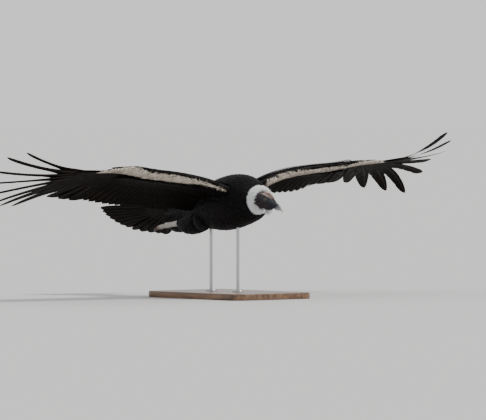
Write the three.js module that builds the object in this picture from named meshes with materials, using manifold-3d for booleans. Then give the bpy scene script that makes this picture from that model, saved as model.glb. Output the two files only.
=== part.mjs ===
// An adult male Andean condor in gliding flight, life size, on a display stand.
// Millimetres, +Z up. The origin is the centre of the base's underside.
// The bird is laid out in its own frame: it flies along -Y, its left wing is on +X.
import * as THREE from "three";
import { mergeVertices } from "three/addons/utils/BufferGeometryUtils.js";
import Module from "manifold-3d";

const wasm = await Module();
wasm.setup();

// Gap left between pieces that touch.
const GAP = 0.35;
// Edges that a join or a cut leaves shorter than this are closed up.
const SLIVER = 0.1;
const DEG = Math.PI / 180;

// The stand, and how the bird is held over it.
const BASE = { length: 740, width: 500, thick: 32, corner: 60, edge: 4 };
const ROD = { radius: 8, plate: 28, plateThick: 7, y: [40, 250] };
const BIRD_HEIGHT = 545;
const BIRD_BACK = -110;
const BIRD_PITCH = 6;
const BIRD_BANK = 2;

// Torso sections: distance back, centre height, half width, half height above and below it.
const TORSO = [
  [-118, -66, 40, 44, 40],
  [-104, -64, 76, 78, 70],
  [-72, -60, 106, 106, 98],
  [-20, -56, 130, 128, 117],
  [60, -54, 142, 136, 133],
  [150, -55, 136, 128, 137],
  [250, -54, 118, 108, 122],
  [350, -48, 94, 84, 102],
  [450, -42, 66, 56, 78],
  [530, -40, 44, 34, 54],
  [575, -41, 30, 18, 30],
];
const TORSO_SIDES = 22;
const TORSO_STEPS = 14;

// The neck's centre line and radius, from inside the torso to inside the skull.
const NECK = [
  [0, -70, -70, 56],
  [-4, -105, -68, 51],
  [-13, -126, -62, 43],
  [-24, -140, -55, 34],
  [-30, -148, -52, 26],
];
const NECK_SIDES = 16;
const NECK_STEPS = 8;
// Folds of bare skin round the neck: how many, and how far each one bulges.
const NECK_FOLDS = { count: 3.5, bulge: 0.045 };

// The head's place: midway between the eyes, turned to the bird's left and bent down.
const HEAD_AT = new THREE.Vector3(-2, -176, -66);
const HEAD_TURN = 38;
const HEAD_DOWN = 32.5;

// Skull sections: distance back from the eyes, half width, top, bottom.
const SKULL = [
  [58, 13, 2, -24],
  [50, 23, 12, -35],
  [36, 29, 18, -41],
  [20, 30.5, 20.5, -42],
  [4, 29, 19.5, -40.5],
  [-12, 26, 17.5, -37.5],
  [-28, 21, 14, -33.5],
  [-42, 16.5, 11, -29.5],
  [-54, 13.5, 9, -26],
  [-60, 12, 7.5, -22.5],
];
const SKULL_SIDES = 16;
const SKULL_STEPS = 10;
const SKULL_FORWARD = [...SKULL].reverse();
const EYE = { radius: 8.5, side: 22.5, ring: 8.6, lid: 2 };
const EAR = { y: 30, z: -14, side: 30.2, width: 7.5, height: 9, depth: 5 };

// The comb, from the crown to the cere: distance back, half thickness, top.
const COMB = [
  [30, 3.5, 19],
  [22, 5.6, 27.5],
  [10, 6.6, 35],
  [-4, 6.8, 37.5],
  [-20, 6.6, 33],
  [-36, 6.2, 25],
  [-52, 5.6, 16.5],
  [-66, 4.6, 10.5],
  [-74, 3, 5.5],
];
const COMB_SINK = 9;

// The upper bill: distance back from the eyes, centre height, half width, half height.
const UPPER_BILL = [
  [-56, -2.6, 11.6, 11.2],
  [-66, -3.4, 11.7, 10.6],
  [-77, -5, 10.8, 10],
  [-88, -8, 9.2, 8.6],
  [-97, -13.4, 6.8, 7],
  [-102.5, -19.6, 4.2, 5],
  [-105, -26, 1.8, 2.4],
];
const LOWER_BILL = [
  [-50, -20, 10.4, 5.4],
  [-66, -20.4, 9.8, 5],
  [-78, -20.4, 7.8, 4.2],
  [-89, -20, 4.2, 2.6],
];
const NOSTRIL = { y: -66, z: 0.5, long: 6.2, high: 2.3 };
const MOUTH = { from: -68, to: -20, z: -14.6, high: 0.9, depth: 2.4, tilt: -3 };

// Folds and bulbs of bare skin: place (mirrored where the side isn't 0), radii, and tilt.
const WATTLES = [
  { at: [0, -22, -37], size: [7, 22, 10], tilt: -8 },
  { at: [13, 4, -38], size: [8, 26, 9], tilt: -14 },
  { at: [22, 28, -36], size: [8, 20, 8], tilt: -30 },
  { at: [24, 40, -22], size: [8, 15, 7], tilt: -55 },
];

// The ruff: a collar of white down round the foot of the neck, open under the throat.
const RUFF = { at: [0, -127, -66], lean: 4, radius: 50, half: [9, 12], opening: 22, gap: 14 };
// Its rows of locks, from the front: how many, place along the neck, sweep back and curl in
// degrees, length, half width.
const RUFF_ROWS = [
  { count: 10, y: -7, sweep: -38, curl: 16, length: 26, half: 19 },
  { count: 11, y: 0, sweep: -6, curl: 14, length: 30, half: 19 },
  { count: 10, y: 8, sweep: 16, curl: 20, length: 31, half: 20 },
];
const LOCK_SECTIONS = [[0, 0.75], [0.55, 1], [1, 0.2]];
const LOCK = { edge: 1, slope: 0.13 };

// Each wing is laid out flat (x outwards, y back, h up) and then bent by these tables: how high
// its root is, and its rise and twist in degrees at a distance out. For each primary, from the
// innermost: its angle back from straight out, how far its tip lifts, and how far it droops
// besides, near its end.
const WING = {
  left: {
    sign: 1,
    rootHeight: 7,
    rise: [
      [60, 17.3], [150, 17.3], [230, 12.6], [350, 4.9], [560, 1.7],
      [700, 4.6], [800, 0], [950, 1], [1700, 1],
    ],
    twist: [
      [60, 14.4], [200, 13.6], [350, 11.5], [500, 11],
      [650, 11.2], [800, 7.9], [950, 8], [1700, 8],
    ],
    angle: [65, 56, 48.4, 39.7, 32.6, 23, 18.6, 9, 2.2, -8.5],
    lift: [0, 3, 6, 0, -10, -27, 27, 45, 87, 116],
    droop: [0, -8, -40, -70, -95, 0, 0, 0, 0, 0],
  },
  right: {
    sign: -1,
    rootHeight: -10,
    rise: [
      [60, 13.3], [150, 14.3], [230, 15], [350, 10.7],
      [560, 6.8], [700, 9.9], [800, -0.4], [1700, -0.4],
    ],
    twist: [
      [60, 13], [200, 11.5], [350, 13.1], [500, 14.5],
      [650, 14.3], [800, 14.2], [950, 13], [1700, 12],
    ],
    angle: [60, 51, 42, 34, 28, 22, 17, 12, 3, -2],
    lift: [0, -8, -13, -20, -20, -12, 28, 76, 110, 113],
    droop: [0, -10, -15, -18, -12, 0, 0, 0, 0, 0],
  },
};
const WING_ROOT = 60;
const LEADING_EDGE = [
  [60, -10], [140, -38], [220, -52], [400, -68], [600, -80],
  [715, -84], [790, -78], [860, -62], [920, -44], [962, -22],
];
// The wing's fleshy core ends here; feathers go on behind it.
const CORE_EDGE = [[60, 150], [200, 120], [400, 98], [600, 88], [715, 60], [800, 30], [900, 2], [962, -14]];
const CORE_THICK = [[60, 78], [140, 66], [300, 52], [500, 44], [715, 32], [800, 23], [900, 15], [962, 8]];
const WRIST = 738;
const WRIST_SLANT = 0.34;
const WRIST_CLEAR = 0.8;
// How far the core swells over and under the wing's middle sheet, as shares of its thickness.
const CORE_OVER = 0.56;
const CORE_UNDER = 0.95;
const CORE_RIM = 1.6;
const HAND_END = 962;
const ARM_STEPS = 10;
const HAND_STEPS = 5;
const CORE_SIDES = 10;

// Lengths of the primaries, from the innermost, and where the first and last are rooted.
const PRIMARY_LENGTH = [420, 490, 560, 605, 620, 612, 610, 590, 540, 430];
const PRIMARY_ROOT = { first: [756, 0], last: [930, -32] };
const PRIMARY_BOW = 12;

// Sections along a feather: share of its length, share of its full width.
const PRIMARY_SECTIONS = [[0, 0.3], [0.36, 1], [0.54, 0.64], [0.9, 0.56], [1, 0.12]];
const FLIGHT_SECTIONS = [[0, 0.5], [0.5, 1], [0.9, 0.92], [1, 0.3]];
const COVERT_SECTIONS = [[0, 0.5], [0.76, 1], [1, 0.4]];

// Widths of a feather's outer and inner vanes, half thickness at its shaft and edges, and
// slope across it, outer edge high, so that each vane lies clear of the next.
const PRIMARY = { outer: [26, 15], inner: [50, 44], shaft: 1.1, edge: 0.32, slope: 0.1 };
const SECONDARY = { outer: 18, inner: 40, shaft: 1, edge: 0.32, slope: 0.055 };
const SECONDARY_ROW = { count: 15, first: 150, last: 732 };
const SECONDARY_TIPS = [[90, 306], [160, 332], [300, 357], [450, 363], [640, 365], [740, 357]];
// Rows of coverts: how many, from where to where along the wing and across it, half width, and
// height over the wing's middle sheet at their roots, middles and tips.
const UPPER_COVERTS = { count: 11, first: 158, last: 712, from: 36, to: 172, half: 26, h: [4.6, 4.4, 3.9] };
const MIDDLE_COVERTS = { count: 9, first: 165, last: 700, from: -6, to: 104, half: 32, h: [8, 17, 8.6] };
const UNDER_COVERTS = { count: 8, first: 165, last: 705, from: 34, to: 160, half: 32, h: [-4, -4.4, -4.6] };
const HAND_COVERTS = { count: 8, reach: 0.36, half: 17, h: 5.4, slope: 0.07 };
const COVERT = { edge: 0.3, slope: 0.05 };
const ALULA = [
  { root: [750, -60], angle: 3, length: 126, half: 10, h: [5, 10] },
  { root: [748, -46], angle: 9, length: 110, half: 12, h: [6, 12.5] },
  { root: [746, -32], angle: 16, length: 90, half: 13, h: [6, 15] },
];

const TAIL = { at: [0, 556, -40], droop: 9, roll: 23, fan: 30, length: 400, feathers: 12, root: 27 };
const RECTRIX = { outer: 22, inner: 31, shaft: 0.9, edge: 0.32, slope: 0.13 };
const RUMP = [[0, 500, -40, 30], [0, 560, -41, 26], [0, 640, -52, 8]];
const TAIL_COVERTS = { count: 5, from: 12, to: 152, half: 24, h: 7.5, spread: 0.75 };

const LEG = {
  hip: [66, 255, -128, 62],
  knee: [72, 362, -140, 50],
  ankle: [70, 440, -126, 20],
  shank: [66, 552, -128, 10],
  lift: { left: 20, right: 0 },
};
// Toes: spread, length, thickness at the root, and drop of the tip.
const TOES = [
  { spread: -17, length: 78, thick: 8, drop: 16 },
  { spread: 0, length: 104, thick: 8.5, drop: 20 },
  { spread: 17, length: 82, thick: 8, drop: 16 },
];
const HIND_TOE = { length: 32, thick: 6 };

// Value of a table at x, by a smooth curve through its rows (cubic Hermite, slopes from neighbours).
function smooth(table, x, column = 1) {
  const last = table.length - 1;
  if (x <= table[0][0]) return table[0][column];
  if (x >= table[last][0]) return table[last][column];
  let i = 0;
  while (x > table[i + 1][0]) i++;
  const slope = (k) => {
    const a = table[Math.max(0, k - 1)];
    const b = table[Math.min(last, k + 1)];
    return (b[column] - a[column]) / (b[0] - a[0]);
  };
  const step = table[i + 1][0] - table[i][0];
  const t = (x - table[i][0]) / step;
  const t2 = t * t;
  const t3 = t2 * t;
  return (
    table[i][column] * (2 * t3 - 3 * t2 + 1) +
    slope(i) * step * (t3 - 2 * t2 + t) +
    table[i + 1][column] * (3 * t2 - 2 * t3) +
    slope(i + 1) * step * (t3 - t2)
  );
}

// A closed solid from rings of points: walls between them, and a fan over each end.
function loft(rings) {
  const sides = rings[0].length;
  const points = rings.flat();
  const faces = [];
  for (let r = 0; r + 1 < rings.length; r++) {
    for (let s = 0; s < sides; s++) {
      const a = r * sides + s;
      const b = r * sides + ((s + 1) % sides);
      faces.push([a, b, b + sides], [a, b + sides, a + sides]);
    }
  }
  for (const [r, turned] of [[0, true], [rings.length - 1, false]]) {
    const first = r * sides;
    let hub = first;
    if (sides > 4) {
      const centre = rings[r].reduce((sum, p) => sum.add(p), new THREE.Vector3()).divideScalar(sides);
      hub = points.push(centre) - 1;
    }
    for (let s = 0; s < sides; s++) {
      const a = first + s;
      const b = first + ((s + 1) % sides);
      if (a !== hub && b !== hub) faces.push(turned ? [hub, b, a] : [hub, a, b]);
    }
  }
  return solidOf(points, faces);
}

// A manifold solid from points and faces, turned so that its faces point out.
function solidOf(points, faces) {
  const make = (list) =>
    new wasm.Manifold(
      new wasm.Mesh({
        numProp: 3,
        vertProperties: new Float32Array(points.flatMap((p) => [p.x, p.y, p.z])),
        triVerts: new Uint32Array(list.flat()),
      }),
    );
  const made = make(faces);
  return made.volume() > 0 ? made : make(faces.map(([a, b, c]) => [a, c, b]));
}

// A manifold solid from a three.js geometry.
function fromGeometry(geometry) {
  const bare = geometry.index ? geometry.toNonIndexed() : geometry.clone();
  bare.deleteAttribute("normal");
  bare.deleteAttribute("uv");
  const merged = mergeVertices(bare, 1e-3);
  return new wasm.Manifold(
    new wasm.Mesh({
      numProp: 3,
      vertProperties: merged.attributes.position.array,
      triVerts: new Uint32Array(merged.index.array),
    }),
  );
}

const join = (pieces) => pieces.reduce((sum, piece) => sum.add(piece));

// The largest closed piece of a solid, with its slivers taken out.
function largest(solid) {
  const pieces = solid.simplify(SLIVER).decompose();
  return pieces.reduce((best, piece) => (piece.volume() > best.volume() ? piece : best));
}

function ball(centre, rx, ry, rz, segments = 14) {
  const shape = new THREE.SphereGeometry(1, segments, Math.round(segments * 0.7));
  shape.scale(rx, ry, rz);
  shape.translate(...centre);
  return fromGeometry(shape);
}

// The torso, or the same form grown on all sides by a margin.
function torso(grow = 0) {
  const rings = [];
  const first = TORSO[0][0];
  const span = TORSO[TORSO.length - 1][0] - first;
  for (let i = 0; i <= TORSO_STEPS; i++) {
    const share = i / TORSO_STEPS;
    const y = first + span * (share - 0.1 * Math.sin(2 * Math.PI * share) / Math.PI);
    const [centre, half, up, down] = [1, 2, 3, 4].map((c) => smooth(TORSO, y, c));
    const ring = [];
    for (let s = 0; s < TORSO_SIDES; s++) {
      const a = (2 * Math.PI * s) / TORSO_SIDES;
      const c = Math.cos(a);
      const high = Math.sin(a) > 0 ? up : down;
      const endShift = i === 0 ? -grow : i === TORSO_STEPS ? grow : 0;
      ring.push(
        new THREE.Vector3((half + grow) * c, y + endShift, centre + (high + grow) * Math.sin(a)),
      );
    }
    rings.push(ring);
  }
  return loft(rings);
}

// Rings across a centre line given as rows of x, y, z, radius.
function tube(rows, sides, steps, grow = 0, shape = () => 1) {
  const line = new THREE.CatmullRomCurve3(rows.map(([x, y, z]) => new THREE.Vector3(x, y, z)));
  const rings = [];
  const across = new THREE.Vector3(1, 0, 0);
  for (let i = 0; i <= steps; i++) {
    const t = i / steps;
    const at = line.getPoint(t);
    const along = line.getTangent(t);
    const side = across.clone().addScaledVector(along, -across.dot(along)).normalize();
    const up = new THREE.Vector3().crossVectors(side, along).normalize();
    const radius = smooth(rows.map((row, k) => [k / (rows.length - 1), row[3]]), t) + grow;
    const ring = [];
    for (let s = 0; s < sides; s++) {
      const a = (2 * Math.PI * s) / sides;
      const r = radius * shape(t, a);
      ring.push(
        at.clone().addScaledVector(side, r * Math.cos(a)).addScaledVector(up, r * Math.sin(a)),
      );
    }
    rings.push(ring);
  }
  return loft(rings);
}

// The neck with its folds, or the same form grown on all sides by a margin.
function neck(grow = 0) {
  const folds = (t) => 1 + NECK_FOLDS.bulge * Math.sin(2 * Math.PI * NECK_FOLDS.count * t);
  return tube(NECK, NECK_SIDES, NECK_STEPS, grow, folds);
}

// Places a solid made in the head's frame (forward is -Y, up is Z) on the neck.
function onHead(solid) {
  const place = new THREE.Matrix4()
    .makeTranslation(HEAD_AT.x, HEAD_AT.y, HEAD_AT.z)
    .multiply(new THREE.Matrix4().makeRotationZ(HEAD_TURN * DEG))
    .multiply(new THREE.Matrix4().makeRotationX(HEAD_DOWN * DEG));
  return solid.transform(place.toArray());
}

function skull(grow = 0) {
  const first = SKULL_FORWARD[0][0];
  const span = SKULL[0][0] - first;
  const rings = [];
  for (let i = 0; i <= SKULL_STEPS; i++) {
    const y = first + (span * i) / SKULL_STEPS;
    const [half, top, bottom] = [1, 2, 3].map((c) => smooth(SKULL_FORWARD, y, c));
    const end = i === 0 ? -grow : i === SKULL_STEPS ? grow : 0;
    const ring = [];
    for (let s = 0; s < SKULL_SIDES; s++) {
      const a = (2 * Math.PI * s) / SKULL_SIDES;
      const z = (top + bottom) / 2 + ((top - bottom) / 2 + grow) * Math.sin(a);
      ring.push(new THREE.Vector3((half + grow) * Math.cos(a), y + end, z));
    }
    rings.push(ring);
  }
  return loft(rings);
}

function billLoft(rows, sides, grow = 0) {
  return loft(
    rows.map(([y, z, half, high]) => {
      const ring = [];
      for (let s = 0; s < sides; s++) {
        const a = (2 * Math.PI * s) / sides;
        ring.push(
          new THREE.Vector3((half + grow) * Math.cos(a), y, z + (high + grow) * Math.sin(a)),
        );
      }
      return ring;
    }),
  );
}

// A point laid out on the flat wing, carried to its place on the bent one.
function bender(wing) {
  const step = 5;
  const xs = [];
  let x = WING_ROOT;
  let reach = WING_ROOT;
  let height = wing.rootHeight;
  while (x < 1700) {
    xs.push([x, reach, height]);
    const rise = smooth(wing.rise, x + step / 2) * DEG;
    reach += step * Math.cos(rise);
    height += step * Math.sin(rise);
    x += step;
  }
  return (px, py, ph) => {
    const at = Math.min(Math.max((px - WING_ROOT) / step, 0), xs.length - 1.001);
    const i = Math.floor(at);
    const f = at - i;
    const rise = smooth(wing.rise, px) * DEG;
    const twist = smooth(wing.twist, px) * DEG;
    const t = Math.min(Math.max((py + 60) / 420, 0), 1.4);
    const slack = px > 700 ? Math.max(0.4, 1 - (px - 700) / 500) : 1;
    const h = ph + slack * (60 * t * (1 - t) - 18 * t * t);
    const back = py * Math.cos(twist) + h * Math.sin(twist);
    const up = -py * Math.sin(twist) + h * Math.cos(twist);
    const reachAt = xs[i][1] * (1 - f) + xs[i + 1][1] * f;
    const heightAt = xs[i][2] * (1 - f) + xs[i + 1][2] * f;
    return new THREE.Vector3(
      wing.sign * (reachAt - up * Math.sin(rise)),
      back,
      heightAt + up * Math.cos(rise),
    );
  };
}

// The slanted line between arm and hand on the flat wing.
const wristLine = (y) => WRIST + WRIST_SLANT * (y - 25);

// The wing's core between two stations: a rounded nose, thickest a third of the way back. One end
// of it lies on the wrist line, moved by a margin.
function wingCore(bend, from, to, steps, wristStep, margin) {
  const rings = [];
  for (let i = 0; i <= steps; i++) {
    const x = from + ((to - from) * i) / steps;
    const lead = smooth(LEADING_EDGE, x);
    const chord = smooth(CORE_EDGE, x) - lead;
    const thick = smooth(CORE_THICK, x);
    const ring = [];
    for (let s = 0; s < CORE_SIDES; s++) {
      const a = (2 * Math.PI * s) / CORE_SIDES;
      const back = (0.5 - 0.5 * Math.cos(a)) ** 1.25;
      const bulge = Math.sqrt(back) * (1 - back) ** 0.9 * 1.55;
      const high = Math.sin(a) > 0 ? CORE_OVER : -CORE_UNDER;
      const rim = Math.abs(Math.sin(a)) > 0.01 ? Math.sign(Math.sin(a)) * CORE_RIM : 0;
      const y = lead + chord * back;
      ring.push(bend(i === wristStep ? wristLine(y) + margin : x, y, thick * high * bulge + rim));
    }
    rings.push(ring);
  }
  return loft(rings);
}

// Where a primary runs on the flat wing, t from 0 at its root to 1 at its tip.
function primaryPath(wing, index) {
  const share = index / (PRIMARY_LENGTH.length - 1);
  const { first, last } = PRIMARY_ROOT;
  const root = [first[0] + (last[0] - first[0]) * share, first[1] + (last[1] - first[1]) * share];
  const length = PRIMARY_LENGTH[index];
  const steps = 40;
  const line = [[...root, 0]];
  for (let k = 1; k <= steps; k++) {
    const t = k / steps;
    const angle = (wing.angle[index] + PRIMARY_BOW * (t - 0.5)) * DEG;
    const [x, y] = line[k - 1];
    const h = wing.lift[index] * t ** 2.2 + wing.droop[index] * t ** 4;
    line.push([x + (Math.cos(angle) * length) / steps, y + (Math.sin(angle) * length) / steps, h]);
  }
  return (t) => {
    const at = Math.min(t * steps, steps - 1e-6);
    const i = Math.floor(at);
    const f = at - i;
    return line[i].map((v, c) => v * (1 - f) + line[i + 1][c] * f);
  };
}

// Where a secondary runs: straight back, its tip on the trailing edge.
function secondaryPath(x) {
  const lean = 0.34 * Math.max(0, (x - 500) / 240) ** 1.5;
  const tip = smooth(SECONDARY_TIPS, x);
  const root = 25;
  return (t) => [x + lean * (tip - root) * t, root + (tip - root) * t, 0];
}

// A thin solid from two like grids of points, its upper and lower faces, split alike.
function sheet(upper, lower) {
  const rows = upper.length;
  const columns = upper[0].length;
  const points = [...upper.flat(), ...lower.flat()];
  const under = rows * columns;
  const faces = [];
  const at = (r, c) => r * columns + c;
  for (let r = 0; r + 1 < rows; r++) {
    for (let c = 0; c + 1 < columns; c++) {
      const [p, q, s, t] = [at(r, c), at(r + 1, c), at(r + 1, c + 1), at(r, c + 1)];
      faces.push([p, q, s], [p, s, t]);
      faces.push([under + p, under + s, under + q], [under + p, under + t, under + s]);
    }
  }
  const rim = [];
  for (let c = 0; c < columns - 1; c++) rim.push(at(0, c));
  for (let r = 0; r < rows - 1; r++) rim.push(at(r, columns - 1));
  for (let c = columns - 1; c > 0; c--) rim.push(at(rows - 1, c));
  for (let r = rows - 1; r > 0; r--) rim.push(at(r, 0));
  rim.forEach((a, i) => {
    const b = rim[(i + 1) % rim.length];
    faces.push([a, b, under + b], [a, under + b, under + a]);
  });
  return solidOf(points, faces);
}

// A feather along a path on the flat wing or tail. The path gives x, y, h for a share of the
// length. Its outer side is the left of the way it runs when side is 1, the right when it is -1.
function vane(carry, path, shape, sections, side = 1, limit = (x) => x) {
  const face = (sign) =>
    sections.map(([t, width]) => {
      const [x, y, h] = path(t);
      const [xa, ya] = path(Math.max(0, t - 0.01));
      const [xb, yb] = path(Math.min(1, t + 0.01));
      const length = Math.hypot(xb - xa, yb - ya);
      const nx = (side * (yb - ya)) / length;
      const ny = (-side * (xb - xa)) / length;
      const taper = 1 - 0.35 * t;
      const across = shape.shaft
        ? [[shape.outer * width, shape.edge], [0, shape.shaft * taper], [-shape.inner * width, shape.edge]]
        : [[shape.half * width, shape.edge], [-shape.half * width, shape.edge]];
      return across.map(([u, thick]) =>
        carry(limit(x + nx * u, y + ny * u), y + ny * u, h + shape.slope * u + sign * thick),
      );
    });
  return sheet(face(1), face(-1));
}

// Evenly spread values from first to last.
const spread = (count, first, last) =>
  Array.from({ length: count }, (_, i) => first + ((last - first) * i) / (count - 1));

// Feathers of the arm and of the hand stop short of the line between them.
const armSide = (x, y) => Math.min(x, wristLine(y) - WRIST_CLEAR);
const handSide = (x, y) => Math.max(x, wristLine(y) + WRIST_CLEAR);

// Rows of straight coverts, their height a curve through three values.
function covertRow(bend, row) {
  return spread(row.count, row.first, row.last).map((x) => {
    const lean = 0.2 * Math.max(0, (x - 450) / 260) ** 1.5;
    const [h0, h1, h2] = row.h;
    const path = (t) => [
      x + lean * (row.to - row.from) * t,
      row.from + (row.to - row.from) * t,
      h0 * (1 - t) ** 2 + (4 * h1 - h0 - h2) * t * (1 - t) + h2 * t * t,
    ];
    const shape = { half: row.half, ...COVERT };
    return vane(bend, path, shape, COVERT_SECTIONS, 1, armSide);
  });
}

const bird = new THREE.Group();
bird.rotation.set(-BIRD_PITCH * DEG, -BIRD_BANK * DEG, 0, "YXZ");
bird.position.set(0, BIRD_BACK, BIRD_HEIGHT);
bird.updateMatrix();

function meshOf(name, solid, material, parent) {
  const data = solid.getMesh();
  const positions = new Float32Array(data.numVert * 3);
  for (let i = 0; i < data.numVert; i++) {
    positions.set(data.vertProperties.subarray(i * data.numProp, i * data.numProp + 3), i * 3);
  }
  const geometry = new THREE.BufferGeometry();
  geometry.setAttribute("position", new THREE.BufferAttribute(positions, 3));
  geometry.setIndex(new THREE.BufferAttribute(new Uint32Array(data.triVerts), 1));
  geometry.computeVertexNormals();
  const mesh = new THREE.Mesh(geometry, material);
  mesh.name = name;
  parent.add(mesh);
  return mesh;
}

const finish = (color, roughness, metalness = 0) =>
  new THREE.MeshStandardMaterial({ color, roughness, metalness });
const PLUMAGE = finish(0x15161a, 0.75);
const DOWN = finish(0xf2f1ee, 0.95);
const SKIN = finish(0x3a3538, 0.6);
const BILL = finish(0xd9d3c2, 0.4);
const IRIS = finish(0x3b2114, 0.15);
const SCALES = finish(0x8d8983, 0.7);
const STEEL = finish(0x9a9c9f, 0.35, 0.9);
const WOOD = finish(0x6a5440, 0.55);

// Body and neck.
const torsoGrown = torso(GAP);
meshOf("torso", torso(), PLUMAGE, bird);

// The comb, a ridge of flesh with a rounded rim.
function comb() {
  return loft(
    COMB.map(([y, half, top]) => {
      const crown = smooth(SKULL_FORWARD, y, 2);
      const waist = crown + 0.3 * (top - crown);
      const right = [
        [half * 1.1, crown - COMB_SINK],
        [half * 0.8, waist],
        [half, top - 0.9 * half],
        [half * 0.45, top],
      ];
      const left = right.map(([x, z]) => [-x, z]).reverse();
      return [...right, ...left].map(([x, z]) => new THREE.Vector3(x, y, z));
    }),
  );
}

// An ellipsoid whose long axis is Y, tipped about X.
function bulb(at, size, tilt = 0, segments = 7) {
  const shape = new THREE.SphereGeometry(1, segments, Math.round(segments * 0.7));
  shape.rotateX(Math.PI / 2);
  shape.scale(...size);
  shape.rotateX(tilt * DEG);
  shape.translate(...at);
  return fromGeometry(shape);
}

// The folds and bulbs of the throat and cheeks, or the same forms grown on all sides by a margin.
function wattles(grow = 0) {
  const all = [];
  for (const { at, size, tilt } of WATTLES) {
    for (const side of at[0] ? [1, -1] : [1]) {
      all.push(bulb([side * at[0], at[1], at[2]], size.map((radius) => radius + grow), tilt));
    }
  }
  return join(all);
}

const earRim = (side) => bulb([side * EAR.side, EAR.y, EAR.z], [3, EAR.height + 3, EAR.width + 3]);

// A brow over the eye, and lids round it.
function browAndLids(side) {
  const brow = bulb([side * (EYE.side - 1), -1, 10.5], [5.5, 17, 3.6], 6);
  const lids = new THREE.TorusGeometry(EYE.ring, EYE.lid, 4, 10);
  lids.rotateY(Math.PI / 2);
  lids.scale(1, 1.12, 0.94);
  lids.translate(side * (EYE.side + 3.6), 0, 0);
  return brow.add(fromGeometry(lids));
}

// What is cut from one side of the head: the eye's socket, the ear cup, the line of the mouth.
function sideCuts(side) {
  const socket = ball([side * EYE.side, 0, 0], ...Array(3).fill(EYE.radius + 1.4 * GAP), 10);
  const cup = bulb([side * (EAR.side + 2), EAR.y, EAR.z], [EAR.depth, EAR.height, EAR.width]);
  const middle = (MOUTH.from + MOUTH.to) / 2;
  const cheek = smooth(SKULL_FORWARD, middle, 1);
  const slitSize = [MOUTH.depth + 1, (MOUTH.to - MOUTH.from) / 2, MOUTH.high];
  const slit = bulb([side * (cheek + 1), middle, MOUTH.z], slitSize, MOUTH.tilt);
  return join([socket, cup, slit]);
}

const upperGrown = billLoft(UPPER_BILL, 12, GAP);
const lowerGrown = billLoft(LOWER_BILL, 10, GAP);
const sideFolds = [1, -1].flatMap((side) => [earRim(side), browAndLids(side)]);
const folds = onHead(join([wattles(), ...sideFolds])).subtract(neck(GAP));
const flesh = join([onHead(join([skull(), comb()])), folds]);
const hollows = onHead(join([sideCuts(1), sideCuts(-1), upperGrown, lowerGrown]));
meshOf("head", largest(flesh.subtract(hollows)), SKIN, bird);

const skullGrown = onHead(skull(GAP));
meshOf("neck", largest(neck().subtract(torsoGrown).subtract(skullGrown)), SKIN, bird);

const nostril = bulb([0, NOSTRIL.y, NOSTRIL.z], [20, NOSTRIL.long, NOSTRIL.high], -8);
meshOf("bill_upper", onHead(largest(billLoft(UPPER_BILL, 12).subtract(nostril))), BILL, bird);
meshOf("bill_lower", onHead(largest(billLoft(LOWER_BILL, 10).subtract(upperGrown))), BILL, bird);
for (const [name, side] of [["left", 1], ["right", -1]]) {
  const eye = ball([side * EYE.side, 0, 0], EYE.radius, EYE.radius, EYE.radius, 10);
  meshOf(`eye_${name}`, onHead(eye), IRIS, bird);
}

// A point of the ruff from the angle round it (from the opening), the distance from its axis and
// the place along the axis.
function onRuff(angle, r, y) {
  const a = angle + RUFF.opening * DEG;
  const p = new THREE.Vector3(r * Math.sin(a), y, -r * Math.cos(a));
  return p.applyAxisAngle(new THREE.Vector3(1, 0, 0), RUFF.lean * DEG).add(new THREE.Vector3(...RUFF.at));
}

// The collar's core, which thins out at both sides of the opening.
function ruffCore() {
  const sides = 6;
  const steps = 16;
  const rings = [];
  for (let i = 0; i <= steps; i++) {
    const share = i / steps;
    const angle = (RUFF.gap + (360 - 2 * RUFF.gap) * share) * DEG;
    const full = Math.sin(Math.PI * share) ** 0.3 * 0.75 + 0.25;
    const ring = [];
    for (let s = 0; s < sides; s++) {
      const c = (2 * Math.PI * s) / sides;
      ring.push(
        onRuff(angle, RUFF.radius + full * RUFF.half[0] * Math.cos(c), full * RUFF.half[1] * Math.sin(c)),
      );
    }
    rings.push(ring);
  }
  return loft(rings);
}

// One lock of the ruff: it leaves the core, tapers and curls back.
function ruffLock(row, angle) {
  const steps = 12;
  const line = [[RUFF.radius, row.y]];
  for (let k = 1; k <= steps; k++) {
    const turn = (row.sweep + (row.curl * k) / steps) * DEG;
    const [r, y] = line[k - 1];
    line.push([r + (row.length / steps) * Math.cos(turn), y + (row.length / steps) * Math.sin(turn)]);
  }
  const carry = (u, t, h) => {
    const i = Math.min(Math.floor(t * steps), steps - 1);
    const f = t * steps - i;
    const turn = (row.sweep + row.curl * t) * DEG;
    const r = line[i][0] * (1 - f) + line[i + 1][0] * f - h * Math.sin(turn);
    const y = line[i][1] * (1 - f) + line[i + 1][1] * f + h * Math.cos(turn);
    return onRuff(angle + u / r, r, y);
  };
  const face = (sign) =>
    LOCK_SECTIONS.map(([t, width]) =>
      [1, -1].map((edge) => {
        const u = edge * row.half * width;
        return carry(u, t, LOCK.slope * u + sign * LOCK.edge * (1 - 0.5 * t));
      }),
    );
  return sheet(face(1), face(-1));
}

{
  const pieces = [ruffCore()];
  RUFF_ROWS.forEach((row, r) => {
    const margin = RUFF.gap + 7;
    for (const angle of spread(row.count, margin, 360 - margin)) {
      const stagger = (r % 2) * 0.5 * ((360 - 2 * margin) / (row.count - 1)) * (angle < 180 ? 1 : -1) * 0.5;
      pieces.push(ruffLock(row, (angle + stagger) * DEG));
    }
  });
  const head = skullGrown.add(onHead(wattles(2 * GAP)));
  const ruff = join(pieces).subtract(torsoGrown).subtract(neck(GAP)).subtract(head);
  meshOf("ruff", largest(ruff), DOWN, bird);
}

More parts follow.
